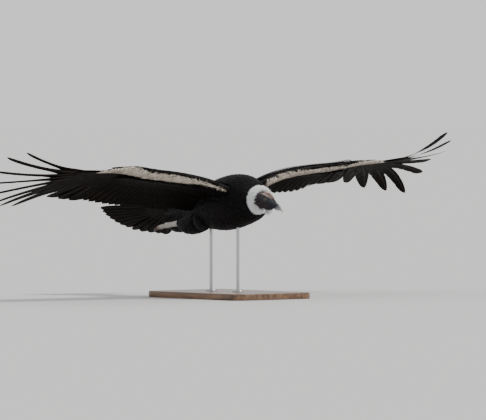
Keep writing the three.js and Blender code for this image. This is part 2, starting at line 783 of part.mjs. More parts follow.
// Wings: the arm with secondaries and three tiers of coverts, the hand with primaries, their
// coverts and the alula.
function armFeathers(bend) {
  const { count, first, last } = SECONDARY_ROW;
  const flight = spread(count, first, last).map((x) =>
    vane(bend, secondaryPath(x), SECONDARY, FLIGHT_SECTIONS, 1, armSide),
  );
  const rows = [UPPER_COVERTS, MIDDLE_COVERTS, UNDER_COVERTS];
  return [...flight, ...rows.flatMap((row) => covertRow(bend, row))];
}

function handFeathers(bend, wing) {
  const lerp = ([a, b], share) => a + (b - a) * share;
  const feathers = PRIMARY_LENGTH.map((length, i) => {
    const share = i / (PRIMARY_LENGTH.length - 1);
    const shape = { ...PRIMARY, outer: lerp(PRIMARY.outer, share), inner: lerp(PRIMARY.inner, share) };
    return vane(bend, primaryPath(wing, i), shape, PRIMARY_SECTIONS, 1, handSide);
  });
  for (let i = 0; i < HAND_COVERTS.count; i++) {
    const along = primaryPath(wing, i);
    const path = (t) => {
      const [x, y, h] = along(0.03 + HAND_COVERTS.reach * t);
      return [x, y, h + HAND_COVERTS.h * (0.5 + 0.5 * Math.min(1, 3 * t))];
    };
    const shape = { ...COVERT, half: HAND_COVERTS.half, slope: HAND_COVERTS.slope };
    feathers.push(vane(bend, path, shape, COVERT_SECTIONS, 1, handSide));
  }
  for (const { root, angle, length, half, h } of ALULA) {
    const path = (t) => [
      root[0] + Math.cos(angle * DEG) * length * t,
      root[1] + Math.sin(angle * DEG) * length * t,
      lerp(h, t),
    ];
    const shape = { half, edge: COVERT.edge, slope: 0 };
    feathers.push(vane(bend, path, shape, COVERT_SECTIONS, 1, handSide));
  }
  return feathers;
}

for (const [name, wing] of Object.entries(WING)) {
  const bend = bender(wing);
  const arm = wingCore(bend, WING_ROOT, WRIST, ARM_STEPS, ARM_STEPS, -GAP / 2);
  const inner = join([arm, ...armFeathers(bend)]).subtract(torsoGrown);
  meshOf(`wing_${name}_arm`, largest(inner), PLUMAGE, bird);
  const hand = wingCore(bend, WRIST, HAND_END, HAND_STEPS, 0, GAP / 2);
  meshOf(`wing_${name}_hand`, largest(join([hand, ...handFeathers(bend, wing)])), PLUMAGE, bird);
}

// Tail: a fan, drooped and rolled about the body's line.
function onTail(x, y, h) {
  const p = new THREE.Vector3(x, y, h);
  p.applyAxisAngle(new THREE.Vector3(1, 0, 0), -TAIL.droop * DEG);
  p.applyAxisAngle(new THREE.Vector3(0, 1, 0), TAIL.roll * DEG);
  return p.add(new THREE.Vector3(...TAIL.at));
}

// A path of the fan, from one distance to another, share -1 to 1 across it.
function tailPath(share, from, to, height) {
  const angle = TAIL.fan * share * DEG;
  return (t) => {
    const d = from + (to - from) * t;
    return [TAIL.root * share + Math.sin(angle) * d, Math.cos(angle) * d, height(t)];
  };
}

{
  const feathers = spread(TAIL.feathers, -1, 1).map((share) => {
    const central = Math.abs(share) < 1.5 / (TAIL.feathers - 1);
    const raised = central && share > 0 ? 1.9 : 0;
    const path = tailPath(share, 0, TAIL.length * (1 - 0.05 * share * share), () => raised);
    const shape = { ...RECTRIX, slope: central ? 0.02 : RECTRIX.slope };
    return vane(onTail, path, shape, FLIGHT_SECTIONS, Math.sign(share));
  });
  for (const over of [1, -1]) {
    for (const share of spread(TAIL_COVERTS.count, -TAIL_COVERTS.spread, TAIL_COVERTS.spread)) {
      const height = (t) => over * TAIL_COVERTS.h * (0.4 + 0.6 * Math.min(1, 3 * t));
      const path = tailPath(share, TAIL_COVERTS.from, TAIL_COVERTS.to * (1 - 0.2 * share * share), height);
      const shape = { half: TAIL_COVERTS.half, ...COVERT };
      feathers.push(vane(onTail, path, shape, COVERT_SECTIONS, Math.sign(share)));
    }
  }
  const rump = tube(RUMP, 10, 4, 0, (t, a) => 1 - 0.35 * Math.abs(Math.sin(a)));
  meshOf("tail", largest(join([rump, ...feathers]).subtract(torsoGrown)), PLUMAGE, bird);
}

// Legs, tucked back under the tail.
for (const [name, side] of [["left", 1], ["right", -1]]) {
  const lift = LEG.lift[name];
  const at = ([x, y, z, r]) => [side * x, y, z + lift, r];
  const thigh = (grow) => tube([at(LEG.hip), at(LEG.knee), at(LEG.ankle)], 12, 6, grow);
  meshOf(`thigh_${name}`, largest(thigh(0).subtract(torsoGrown)), PLUMAGE, bird);
  const [fx, fy, fz, fr] = at(LEG.shank);
  const [ax, ay, az] = at(LEG.ankle);
  const toe = (dx, dy, length, thick, drop) =>
    tube(
      [
        [fx, fy - 6, fz, thick],
        [fx + dx * length * 0.55, fy + dy * length * 0.55, fz - drop * 0.2, thick * 0.9],
        [fx + dx * length, fy + dy * length, fz - drop, 1.6],
      ],
      6, 4,
    );
  const toes = TOES.map(({ spread: angle, length, thick, drop }) =>
    toe(Math.sin(angle * DEG), Math.cos(angle * DEG), length, thick, drop),
  );
  toes.push(toe(-side * 0.6, 0.8, HIND_TOE.length, HIND_TOE.thick, -14));
  const shank = tube([[ax, ay, az, fr + 1], [fx, fy, fz, fr]], 10, 3);
  meshOf(`foot_${name}`, largest(join([shank, ...toes]).subtract(thigh(GAP))), SCALES, bird);
}

// Stand.
const stand = new THREE.Group();
function basePlate() {
  const shape = new THREE.Shape();
  const w = BASE.width / 2 - BASE.edge;
  const l = BASE.length / 2 - BASE.edge;
  const r = BASE.corner;
  shape.moveTo(-w + r, -l);
  shape.lineTo(w - r, -l);
  shape.absarc(w - r, -l + r, r, -Math.PI / 2, 0);
  shape.lineTo(w, l - r);
  shape.absarc(w - r, l - r, r, 0, Math.PI / 2);
  shape.lineTo(-w + r, l);
  shape.absarc(-w + r, l - r, r, Math.PI / 2, Math.PI);
  shape.lineTo(-w, -l + r);
  shape.absarc(-w + r, -l + r, r, Math.PI, 1.5 * Math.PI);
  const plate = new THREE.ExtrudeGeometry(shape, {
    depth: BASE.thick - 2 * BASE.edge,
    bevelEnabled: true,
    bevelThickness: BASE.edge,
    bevelSize: BASE.edge,
    bevelSegments: 1,
    curveSegments: 3,
  });
  plate.translate(0, 0, BASE.edge);
  return fromGeometry(plate);
}
meshOf("stand_base", basePlate(), WOOD, stand);

// An upright cylinder with a small bevel on its top edge.
function upright(radius, from, to, bevel) {
  const profile = [[0, from], [radius, from], [radius, to - bevel], [radius - bevel, to], [0, to]];
  const shape = new THREE.LatheGeometry(profile.map(([r, z]) => new THREE.Vector2(r, z)), 18);
  shape.rotateX(Math.PI / 2);
  return shape;
}

// Each rod stands on a round plate and ends just under the belly.
const bodyInPlace = torsoGrown.transform(bird.matrix.toArray());
["front", "rear"].forEach((name, i) => {
  const foot = BASE.thick + GAP;
  const plate = upright(ROD.plate, foot, foot + ROD.plateThick, 1.5);
  plate.translate(0, ROD.y[i] + BIRD_BACK, 0);
  meshOf(`stand_plate_${name}`, fromGeometry(plate), STEEL, stand);
  const rod = upright(ROD.radius, foot + ROD.plateThick + GAP, BIRD_HEIGHT - 60, 1);
  rod.translate(0, ROD.y[i] + BIRD_BACK, 0);
  meshOf(`stand_rod_${name}`, largest(fromGeometry(rod).subtract(bodyInPlace)), STEEL, stand);
});

const model = new THREE.Group();
model.add(bird, stand);
export default model;
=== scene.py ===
import bpy
import numpy as np
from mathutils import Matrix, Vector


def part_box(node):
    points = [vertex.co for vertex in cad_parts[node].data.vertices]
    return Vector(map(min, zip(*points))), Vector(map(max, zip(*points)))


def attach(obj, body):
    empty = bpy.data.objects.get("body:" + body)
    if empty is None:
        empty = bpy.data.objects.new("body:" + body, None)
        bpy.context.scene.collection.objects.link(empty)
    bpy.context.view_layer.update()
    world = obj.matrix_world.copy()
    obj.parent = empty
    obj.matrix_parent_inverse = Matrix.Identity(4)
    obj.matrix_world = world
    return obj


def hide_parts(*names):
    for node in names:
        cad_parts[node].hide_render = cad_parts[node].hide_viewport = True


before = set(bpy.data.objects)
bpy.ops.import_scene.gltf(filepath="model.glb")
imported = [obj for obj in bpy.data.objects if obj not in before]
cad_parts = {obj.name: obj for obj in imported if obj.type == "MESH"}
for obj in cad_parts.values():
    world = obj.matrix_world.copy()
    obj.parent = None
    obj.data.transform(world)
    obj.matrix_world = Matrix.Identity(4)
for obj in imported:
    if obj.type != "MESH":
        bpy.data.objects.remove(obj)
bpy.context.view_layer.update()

# An adult male Andean condor in gliding flight, life size, on a display stand.
# The scene is in metres. The bird's own forms are worked out in millimetres in its own frame:
# it flies along -Y, its left wing is on +X, and place() carries them into the scene.
MM = 0.001
BIRD_AT = (0, -110, 545)
BIRD_PITCH = 6
BIRD_BANK = 2
TAU = 2 * np.pi


def turn(axis, degrees):
    """Rotation matrix about the x (0), y (1) or z (2) axis."""
    c, s = np.cos(np.radians(degrees)), np.sin(np.radians(degrees))
    a, b = [(1, 2), (2, 0), (0, 1)][axis]
    matrix = np.eye(3)
    matrix[a, a] = matrix[b, b] = c
    matrix[a, b], matrix[b, a] = -s, s
    return matrix


BIRD_TURN = turn(1, -BIRD_BANK) @ turn(0, -BIRD_PITCH)


def place(points):
    """Points of the bird in millimetres, pitched, banked and lifted to their place, in metres."""
    return (np.asarray(points) @ BIRD_TURN.T + BIRD_AT) * MM


def curve(table, x, column=1):
    """Value at x of a smooth curve through a table's rows: cubic Hermite, slopes from neighbours."""
    rows = np.asarray(table, float)
    xs, ys = rows[:, 0], rows[:, column]
    slope = np.empty_like(ys)
    slope[1:-1] = (ys[2:] - ys[:-2]) / (xs[2:] - xs[:-2])
    slope[0] = (ys[1] - ys[0]) / (xs[1] - xs[0])
    slope[-1] = (ys[-1] - ys[-2]) / (xs[-1] - xs[-2])
    x = np.clip(x, xs[0], xs[-1])
    i = np.clip(np.searchsorted(xs, x, side="right") - 1, 0, len(xs) - 2)
    step = xs[i + 1] - xs[i]
    t = (x - xs[i]) / step
    rise = 3 * t**2 - 2 * t**3
    ends = ys[i] * (1 - rise) + ys[i + 1] * rise
    return ends + step * (slope[i] * (t**3 - 2 * t**2 + t) + slope[i + 1] * (t**3 - t**2))


def smooth(low, high, x):
    """0 below low, 1 above high, and a soft step between them."""
    t = np.clip((x - low) / (high - low), 0, 1)
    return t * t * (3 - 2 * t)


def bump(x, centre, width):
    """A soft bell: 1 at the centre, falling off over the width."""
    return np.exp(-(((x - centre) / width) ** 2))


# Meshes.


def mesh_object(name, points, faces, maps=None, fields=None):
    """A mesh from points in metres and faces, a list of index arrays of 3 or 4 columns.
    maps gives each UV map's values by face corner, fields gives values by point."""
    mesh = bpy.data.meshes.new(name)
    points = np.asarray(points, np.float32).reshape(-1, 3)
    faces = [np.asarray(f, np.int32) for f in faces if len(f)]
    corners = np.concatenate([f.ravel() for f in faces])
    counts = np.concatenate([np.full(len(f), f.shape[1]) for f in faces])
    mesh.vertices.add(len(points))
    mesh.vertices.foreach_set("co", points.ravel())
    mesh.loops.add(len(corners))
    mesh.loops.foreach_set("vertex_index", corners)
    mesh.polygons.add(len(counts))
    starts = np.concatenate([[0], np.cumsum(counts)[:-1]])
    mesh.polygons.foreach_set("loop_start", starts.astype(np.int32))
    for key, values in (maps or {}).items():
        layer = mesh.uv_layers.new(name=key)
        layer.data.foreach_set("uv", np.asarray(values, np.float32).ravel())
    for key, values in (fields or {}).items():
        attribute = mesh.attributes.new(key, "FLOAT", "POINT")
        attribute.data.foreach_set("value", np.asarray(values, np.float32).ravel())
    mesh.update(calc_edges=True)
    mesh.polygons.foreach_set("use_smooth", np.ones(len(counts), bool))
    piece = bpy.data.objects.new(name, mesh)
    bpy.context.scene.collection.objects.link(piece)
    return piece


def volume_of(points, faces):
    """Signed volume inside closed faces: the sum of the tetrahedra from the centre to each one."""
    centre = points.mean(0)
    total = 0.0
    for f in faces:
        a = points[f[:, 0]] - centre
        for k in range(1, f.shape[1] - 1):
            b = points[f[:, k]] - centre
            c = points[f[:, k + 1]] - centre
            total += np.einsum("ij,ij->", a, np.cross(b, c))
    return total


def outward(points, faces):
    """The same faces, all turned round if they point in."""
    return faces if volume_of(points, faces) > 0 else [f[:, ::-1] for f in faces]


def loft_faces(rows, sides):
    """Faces of a tube of rings, each ring closed, with a fan of triangles over each end."""
    r, s = np.meshgrid(np.arange(rows - 1), np.arange(sides), indexing="ij")
    a = (r * sides + s).ravel()
    b = (r * sides + (s + 1) % sides).ravel()
    walls = np.stack([a, b, b + sides, a + sides], 1)
    s = np.arange(sides)
    last = (rows - 1) * sides
    first_cap = np.stack([np.full(sides, rows * sides), (s + 1) % sides, s], 1)
    last_cap = np.stack([np.full(sides, rows * sides + 1), last + s, last + (s + 1) % sides], 1)
    return [walls, np.concatenate([first_cap, last_cap])]


def loft(rings):
    """Points and faces of a closed tube from an array of rings (rows, sides, 3)."""
    rows, sides, _ = rings.shape
    points = np.concatenate([rings.reshape(-1, 3), rings[0].mean(0)[None], rings[-1].mean(0)[None]])
    return points, outward(points, loft_faces(rows, sides))


def joined(parts):
    """Several (points, faces) as one."""
    points, quads, triangles, base = [], [], [], 0
    for part_points, part_faces in parts:
        points.append(part_points)
        for f in part_faces:
            (quads if f.shape[1] == 4 else triangles).append(f + base)
        base += len(part_points)
    groups = [np.concatenate(g) for g in (quads, triangles) if g]
    return np.concatenate(points), groups


def fused(name, parts, voxel, soften):
    """One skin over overlapping closed parts: a voxel remesh, then soften rounds of smoothing.
    Returns its points in the bird's millimetres and its faces."""
    points, faces = joined(parts)
    piece = mesh_object(name, points * MM, faces)
    remesh = piece.modifiers.new("remesh", "REMESH")
    remesh.mode = "VOXEL"
    remesh.voxel_size = voxel * MM
    relax = piece.modifiers.new("relax", "SMOOTH")
    relax.factor = 0.5
    relax.iterations = soften
    evaluated = piece.evaluated_get(bpy.context.evaluated_depsgraph_get())
    mesh = bpy.data.meshes.new_from_object(evaluated)
    co = np.empty(len(mesh.vertices) * 3, np.float32)
    mesh.vertices.foreach_get("co", co)
    corners = np.empty(len(mesh.loops), np.int32)
    mesh.loops.foreach_get("vertex_index", corners)
    bpy.data.objects.remove(piece)
    bpy.data.meshes.remove(mesh)
    return co.reshape(-1, 3).astype(float) / MM, [corners.reshape(-1, 4)]


def normals_of(points, faces):
    """Unit normals by point, the mean of its quads' normals."""
    f = faces[0]
    flat = np.cross(points[f[:, 2]] - points[f[:, 0]], points[f[:, 3]] - points[f[:, 1]])
    total = np.zeros_like(points)
    for k in range(4):
        np.add.at(total, f[:, k], flat)
    return total / np.maximum(np.linalg.norm(total, axis=1, keepdims=True), 1e-12)


def finished(piece, material, slot, *nodes):
    """Gives a piece its material, hides the nodes that it replaces and sets the body that it rides on. slot
    is not used.
    """
    piece.data.materials.append(material)
    if nodes:
        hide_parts(*nodes)
    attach(piece, "root")
    return piece


# Feathers.


def vane_template(rows, columns):
    """One vane as rings: columns points over the top from the outer edge to the inner one, then
    back underneath, both faces sharing their edges. Returns the faces, each face corner's
    (way round, way along), and each ring point's place across, 1 outer to -1 inner, and side."""
    around = 2 * columns - 2
    across = np.concatenate([np.linspace(1, -1, columns), np.linspace(-1, 1, columns)[1:-1]])
    side = np.concatenate([np.ones(columns), -np.ones(columns - 2)])
    side[[0, columns - 1]] = 0
    r, m = [v.ravel() for v in np.meshgrid(np.arange(rows - 1), np.arange(around), indexing="ij")]
    n = (m + 1) % around
    walls = np.stack([r * around + m, r * around + n, (r + 1) * around + n, (r + 1) * around + m], 1)
    way = np.stack([m, m + 1, m + 1, m], 1) / around
    along = np.stack([r, r, r + 1, r + 1], 1) / (rows - 1)
    wall_uv = np.stack([way, along], 2)
    j = np.arange(1, columns - 2)
    middle = np.stack([j, j + 1, around - j - 1, around - j], 1)
    ends = np.array([[0, 1, around - 1], [columns - 2, columns - 1, columns]])
    last = (rows - 1) * around
    caps = [middle[:, ::-1], middle + last]
    triangles = np.concatenate([ends[:, ::-1], ends + last])
    faces = [np.concatenate([walls] + caps), triangles]
    corner_uv = [wall_uv.reshape(-1, 2)]
    for cap in caps + [triangles]:
        flat = cap.ravel()
        corner_uv.append(np.stack([(flat % around) / around, (flat // around) / (rows - 1)], 1))
    return faces, np.concatenate(corner_uv), across, side


VANE_ROUND = 1.4


def vanes(carry, line, lift, outer, inner, thick, columns, slope, arch, patches, fields):
    """Closed vanes, all alike in their grid. line (n, rows, 2) is where each shaft runs on its
    chart and lift (n, rows) its height there; outer and inner (n, rows) are its widths left and
    right of the way it runs; thick (n, rows) is half its thickness at the shaft. Across a vane the
    height adds slope times the distance out and arch times that distance squared over its width.
    patches (n, 4) are each one's corner and size on the map OFBake. carry takes the chart into the
    bird's frame. Returns points, faces, maps and fields for mesh_object."""
    n, rows, _ = line.shape
    faces, corner_uv, across, side = vane_template(rows, columns)
    around = len(across)
    step = np.gradient(line, axis=1)
    step /= np.maximum(np.linalg.norm(step, axis=2, keepdims=True), 1e-9)
    width = np.where(across > 0, outer[..., None], inner[..., None])
    u = across * width
    x = line[..., 0, None] + step[..., 1, None] * u
    y = line[..., 1, None] - step[..., 0, None] * u
    swell = side * (1 - np.abs(across) ** VANE_ROUND)
    slope = np.asarray(slope, float)
    tilt = slope[..., None] if slope.ndim == 2 else slope.reshape(-1, 1, 1)
    h = lift[..., None] + tilt * u - arch * across**2 * width + thick[..., None] * swell
    points = carry(x, y, h).reshape(-1, 3)
    base = (np.arange(n) * rows * around)[:, None, None]
    all_faces = [(f[None] + base).reshape(-1, f.shape[1]) for f in faces]
    quads = faces[0].size
    corner_parts = (corner_uv[:quads], corner_uv[quads:])
    corner, size = patches[:, None, :2], patches[:, None, 2:]
    maps = {
        "vane": np.concatenate([np.tile(part, (n, 1)) for part in corner_parts]),
        "OFBake": np.concatenate([(corner + size * part[None]).reshape(-1, 2) for part in corner_parts]),
    }
    spread = {key: np.repeat(np.asarray(v, float), rows * around) for key, v in fields.items()}
    return points, all_faces, maps, spread


def together(batches):
    """Several batches of vanes as one mesh's points, faces, maps and fields."""
    points, base = [], 0
    quads, triangles = [], []
    maps = {key: ([], []) for key in batches[0][2]}
    fields = {key: [] for key in batches[0][3]}
    for batch_points, (batch_quads, batch_triangles), batch_maps, batch_fields in batches:
        points.append(batch_points)
        quads.append(batch_quads + base)
        triangles.append(batch_triangles + base)
        base += len(batch_points)
        for key, values in batch_maps.items():
            cut = batch_quads.size
            maps[key][0].append(values[:cut])
            maps[key][1].append(values[cut:])
        for key, values in batch_fields.items():
            fields[key].append(values)
    maps = {key: np.concatenate(first + second) for key, (first, second) in maps.items()}
    fields = {key: np.concatenate(values) for key, values in fields.items()}
    return np.concatenate(points), [np.concatenate(quads), np.concatenate(triangles)], maps, fields


def oriented(batch):
    """A batch with its faces turned round where a mirrored chart turned them inside out."""
    points, faces, maps, fields = batch
    if volume_of(points, faces) > 0:
        return batch
    flipped = [f[:, ::-1] for f in faces]
    cut = faces[0].size
    turned = {}
    for key, values in maps.items():
        quads = values[:cut].reshape(-1, 4, 2)[:, ::-1].reshape(-1, 2)
        triangles = values[cut:].reshape(-1, 3, 2)[:, ::-1].reshape(-1, 2)
        turned[key] = np.concatenate([quads, triangles])
    return points, flipped, turned, fields


def feather_piece(name, batches, material, slot, *nodes):
    """One piece from batches of vanes, faces out, in its place."""
    points, faces, maps, fields = together([oriented(batch) for batch in batches])
    piece = mesh_object(name, place(points), faces, maps, fields)
    return finished(piece, material, slot, *nodes)


# Shares of the map OFBake: its margin, the spread of small feathers' roots and each one's patch,
# and the width that long feathers' strips fill, together and each of its own place.
MAP_MARGIN = 0.01
ROOT_SPREAD = 0.97
ROOT_PATCH = 0.003
STRIP_SPREAD = 0.98
STRIP_FILL = 0.92


def patches_at(u, v):
    """Small square patches of the map OFBake, one at each root's place on the skin's unwrap."""
    full = np.full(u.size, ROOT_PATCH)
    return np.stack([MAP_MARGIN + ROOT_SPREAD * u, MAP_MARGIN + ROOT_SPREAD * v, full, full], 1)


def strips(count, first, last):
    """Tall strips of the map OFBake side by side, between two heights, one for each long vane."""
    wide = STRIP_SPREAD / count
    full = np.ones(count)
    x = MAP_MARGIN + wide * np.arange(count)
    return np.stack([x, full * first, full * wide * STRIP_FILL, full * (last - first)], 1)


def walk(heading, step):
    """Where steps along the headings lead, from zero: running sums of their cosines and sines."""
    start = np.zeros((len(heading), 1))
    return [np.concatenate([start, np.cumsum(part(heading) * step, 1)], 1) for part in (np.cos, np.sin)]


def surface_chart(surface):
    """Carries chart points (x, y, h): the surface's point at (x, y), moved h along its normal."""
    step = 0.5

    def carry(x, y, h):
        across = surface(x + step, y) - surface(x - step, y)
        along = surface(x, y + step) - surface(x, y - step)
        normal = np.cross(along, across)
        normal /= np.maximum(np.linalg.norm(normal, axis=-1, keepdims=True), 1e-9)
        return surface(x, y) + normal * h[..., None]

    return carry


# Torso, neck, thighs. A row of TORSO is the distance back, the centre's height, the half width
# and the half heights above and below the centre. Rows of a tube are x, y, z and radius.
TORSO = [
    [-118, -66, 40, 44, 40], [-104, -64, 76, 78, 70], [-72, -60, 106, 106, 98],
    [-20, -56, 130, 128, 117], [60, -54, 142, 136, 133], [150, -55, 136, 128, 137],
    [250, -54, 118, 108, 122], [350, -48, 94, 84, 102], [450, -42, 66, 56, 78],
    [530, -40, 44, 34, 54], [575, -41, 30, 18, 30],
]
TORSO_ENDS = (-118, 575)
NECK = [
    (0, -70, -70, 56), (-4, -105, -68, 51), (-13, -126, -62, 43), (-24, -140, -55, 34),
    (-30, -148, -52, 26),
]
LEG_POINTS = {
    "hip": (66, 255, -128, 62),
    "knee": (72, 362, -140, 50),
    "ankle": (70, 440, -126, 20),
    "shank": (66, 552, -128, 10),
}
LEG_LIFT = {"left": 20, "right": 0}
COAT_DEPTH = 6
ARC = 100


def torso_surface(x, y, grow=0.0):
    """The torso's point at angle x / ARC from its left side, turning up, and distance back y:
    an oval whose centre, half width and half heights follow the TORSO table."""
    a = x / ARC
    centre, half, up, down = [curve(TORSO, y, c) for c in (1, 2, 3, 4)]
    high = np.where(np.sin(a) > 0, up, down) + grow
    return np.stack([(half + grow) * np.cos(a), y + 0 * a, centre + high * np.sin(a)], -1)


def tube_along(rows, grow=0.0):
    """Surface function (t along 0 to 1, angle) of a round tube through rows of x, y, z, radius."""
    rows = np.asarray(rows, float)
    share = np.linspace(0, 1, len(rows))
    tables = [np.stack([share, rows[:, c]], 1) for c in range(4)]

    def line(t):
        return np.stack([curve(tables[c], t) for c in range(3)], -1)

    def point(t, angle):
        t = np.clip(t, 0, 1)
        along = line(np.minimum(t + 0.01, 1)) - line(np.maximum(t - 0.01, 0))
        along /= np.linalg.norm(along, axis=-1, keepdims=True)
        side = np.array([1.0, 0, 0]) - along * along[..., :1]
        side /= np.linalg.norm(side, axis=-1, keepdims=True)
        up = np.cross(side, along)
        radius = (curve(tables[3], t) + grow)[..., None]
        return line(t) + radius * (side * np.cos(angle)[..., None] + up * np.sin(angle)[..., None])

    return point


def tube_rings(point, rows, sides):
    """Rings of a tube's surface function, evenly spaced along it."""
    t, a = np.meshgrid(np.linspace(0, 1, rows), np.arange(sides) * TAU / sides, indexing="ij")
    return point(t, a)


def tube(rows, along, sides, grow=0.0):
    """A closed tube through rows of x, y, z, radius."""
    return loft(tube_rings(tube_along(rows, grow), along, sides))


def thigh_rows(name):
    """The thigh's tube from hip to ankle, on the named side."""
    side = 1 if name == "left" else -1
    joints = [LEG_POINTS[key] for key in ("hip", "knee", "ankle")]
    return [(side * x, y, z + LEG_LIFT[name], radius) for x, y, z, radius in joints]


# Wings: each is laid out flat (x outwards, y back, h up) and then bent by its tables.
# root is its height at the body, and rise and twist are degrees by distance out. length, angle,
# lift, droop and turned have a value for each primary of PRIMARY_PLACES. band_low and band_high
# are the edges of a band of painted highlight round the nose by distance out, and lining is how
# much of that painted highlight the lining takes.
WING = {
    "left": {
        "sign": 1,
        "root": 7,
        "rise": [
            [60, 17.3], [150, 17.3], [230, 12.6], [350, 4.9], [560, 1.7], [700, 4.6], [800, 0],
            [950, 1], [1700, 1],
        ],
        "twist": [
            [60, 14.4], [200, 13.6], [350, 11.5], [500, 11], [650, 11.2], [800, 7.9], [950, 8],
            [1700, 8],
        ],
        "length": [372, 396, 410, 480, 560, 605, 620, 612, 610, 590, 540, 430],
        "angle": [79, 72, 65, 56, 48.4, 39.7, 32.6, 23, 18.6, 9, 2.2, -8.5],
        "lift": [0, 0, 0, 3, 6, 0, -10, -27, 27, 45, 87, 116],
        "droop": [0, 0, 0, -8, -40, -70, -95, 0, 0, 0, 0, 0],
        "turned": [0, 0, 0, 0, 0, 0, 0.05, 0.25, 0.25, 0.05, -0.15, -0.35],
        "band_low": [
            [60, 120], [200, 150], [300, 146], [400, 130], [500, 112], [570, 104], [680, 108],
            [800, 140], [960, 150],
        ],
        "band_high": [
            [60, 6], [250, 5], [400, -2], [570, -6], [680, -4], [760, 10], [850, 40], [960, 60],
        ],
        # How much painted highlight this wing's lining takes.
        "lining": 1.0,
    },
    "right": {
        "sign": -1,
        "root": -10,
        "rise": [
            [60, 13.3], [150, 14.3], [230, 15], [350, 10.7], [560, 6.8], [700, 9.9], [800, -0.4],
            [1700, -0.4],
        ],
        "twist": [
            [60, 13], [200, 11.5], [350, 13.1], [500, 14.5], [650, 14.3], [800, 14.2], [950, 13],
            [1700, 12],
        ],
        "length": [380, 404, 432, 472, 560, 605, 620, 612, 610, 590, 540, 430],
        "angle": [73, 66.5, 60, 50, 42, 34, 28, 22, 17, 12, 3, -2],
        "lift": [0, 8, 18, 24, -4, -9, -13, 0, 38, 80, 120, 125],
        "droop": [0, 0, 0, -10, -15, -18, -12, 0, 0, 0, 0, 0],
        "turned": [0, 0, 0, 0, 0, 0, 0, 0.02, -0.03, 0, 0.02, -0.15],
        "band_low": [
            [60, 16], [170, 18], [215, 22], [281, 26], [330, 40], [400, 68], [450, 80], [570, 96],
            [680, 104], [800, 140], [960, 150],
        ],
        "band_high": [[60, -4], [330, -3], [570, -6], [680, -4], [760, 10], [850, 40], [960, 60]],
        # How much painted highlight this wing's lining takes.
        "lining": 0.0,
    },
}
WING_ROOT = 60
WING_END = 1700
BEND_STEP = 5.0
CAMBER_START, CAMBER_CHORD, CAMBER_REACH = -60, 420, 1.4
CAMBER_ARCH, CAMBER_FALL = 60, 18
HAND_FROM, HAND_EASE, HAND_CAMBER = 700, 500, 0.4
LEADING_EDGE = [
    [60, -10], [140, -38], [220, -52], [400, -68], [600, -80], [715, -84], [790, -78], [860, -62],
    [920, -44], [962, -22],
]
CORE_EDGE = [
    [60, 150], [200, 120], [400, 98], [600, 88], [715, 60], [800, 30], [900, 2], [962, -14],
]
CORE_THICK = [[60, 78], [140, 66], [300, 52], [500, 44], [715, 32], [800, 23], [900, 15], [962, 8]]
CORE_OVER, CORE_UNDER = 0.56, 0.95
CORE_PEAK, CORE_TAPER, CORE_NOSE = 1.55, 0.9, 1.25
HAND_END = 962
HAND_MARGIN = 2
SHRINK_DEPTH = 14
PRIMARY_PLACES = np.array([-1.4, -0.7, 0, 1, 2, 3, 4, 5, 6, 7, 8, 9.0])
PRIMARY_COVERT_PLACES = np.arange(-1.0, 9.0)
PRIMARY_ROOT = ((756, 0), (930, -32))
PRIMARY_ROWS = 46
PRIMARY_BOW = 12
PRIMARY_SHAPE = [
    [0, 0.3], [0.2, 0.72], [0.38, 1], [0.46, 0.9], [0.56, 0.66], [0.7, 0.61], [0.9, 0.57], [1, 0.5],
]
LIFT_POWER, DROOP_POWER = 2.2, 4
INNER_SHAPE = [[0, 0.35], [0.25, 0.8], [0.5, 1], [0.7, 0.93], [0.85, 0.7], [1, 0.36]]
SECONDARY_TIPS = [[90, 306], [160, 332], [300, 357], [450, 363], [640, 365], [740, 357]]
SECONDARY_ROOT = 25
FLIGHT_SHAPE = [[0, 0.5], [0.3, 0.85], [0.6, 1], [0.85, 0.98], [1, 0.9]]
# How feathers lean out: their lean, the distance out where it starts, and over which it comes.
SECONDARY_LEAN = (0.34, 500, 240)
COVERT_LEAN = (0.2, 450, 260)
TIP_LEAST = 0.0016
SPLITS = 4
SPLIT_DEPTH = 0.12
SPLIT_WIDTH = 0.012


def bender(wing):
    """Carries the flat wing to the bent one: steps outwards climb by rise, each section turns by
    twist, and its height adds a camber that arches in the middle and falls at the back."""
    xs = np.arange(WING_ROOT, WING_END + 1, BEND_STEP)
    climb = np.radians(curve(wing["rise"], xs[:-1] + BEND_STEP / 2))
    reach = WING_ROOT + np.concatenate([[0], np.cumsum(BEND_STEP * np.cos(climb))])
    height = wing["root"] + np.concatenate([[0], np.cumsum(BEND_STEP * np.sin(climb))])

    def bend(x, y, h):
        rise = np.radians(curve(wing["rise"], x))
        twist = np.radians(curve(wing["twist"], x))
        t = np.clip((y - CAMBER_START) / CAMBER_CHORD, 0, CAMBER_REACH)
        eased = np.maximum(HAND_CAMBER, 1 - (x - HAND_FROM) / HAND_EASE)
        h = h + np.where(x > HAND_FROM, eased, 1.0) * (CAMBER_ARCH * t * (1 - t) - CAMBER_FALL * t**2)
        back = y * np.cos(twist) + h * np.sin(twist)
        up = h * np.cos(twist) - y * np.sin(twist)
        out = np.interp(x, xs, reach) - up * np.sin(rise)
        return np.stack([wing["sign"] * out, back, np.interp(x, xs, height) + up * np.cos(rise)], -1)

    return bend


def core_height(x, share, side):
    """Height of the wing's fleshy core over its middle sheet, by share of the way back: the root
    of the share times a power of what is left, so the nose is round and the back edge thin."""
    full = CORE_OVER if side > 0 else CORE_UNDER
    return side * curve(CORE_THICK, x) * full * np.sqrt(share) * (1 - share) ** CORE_TAPER * CORE_PEAK


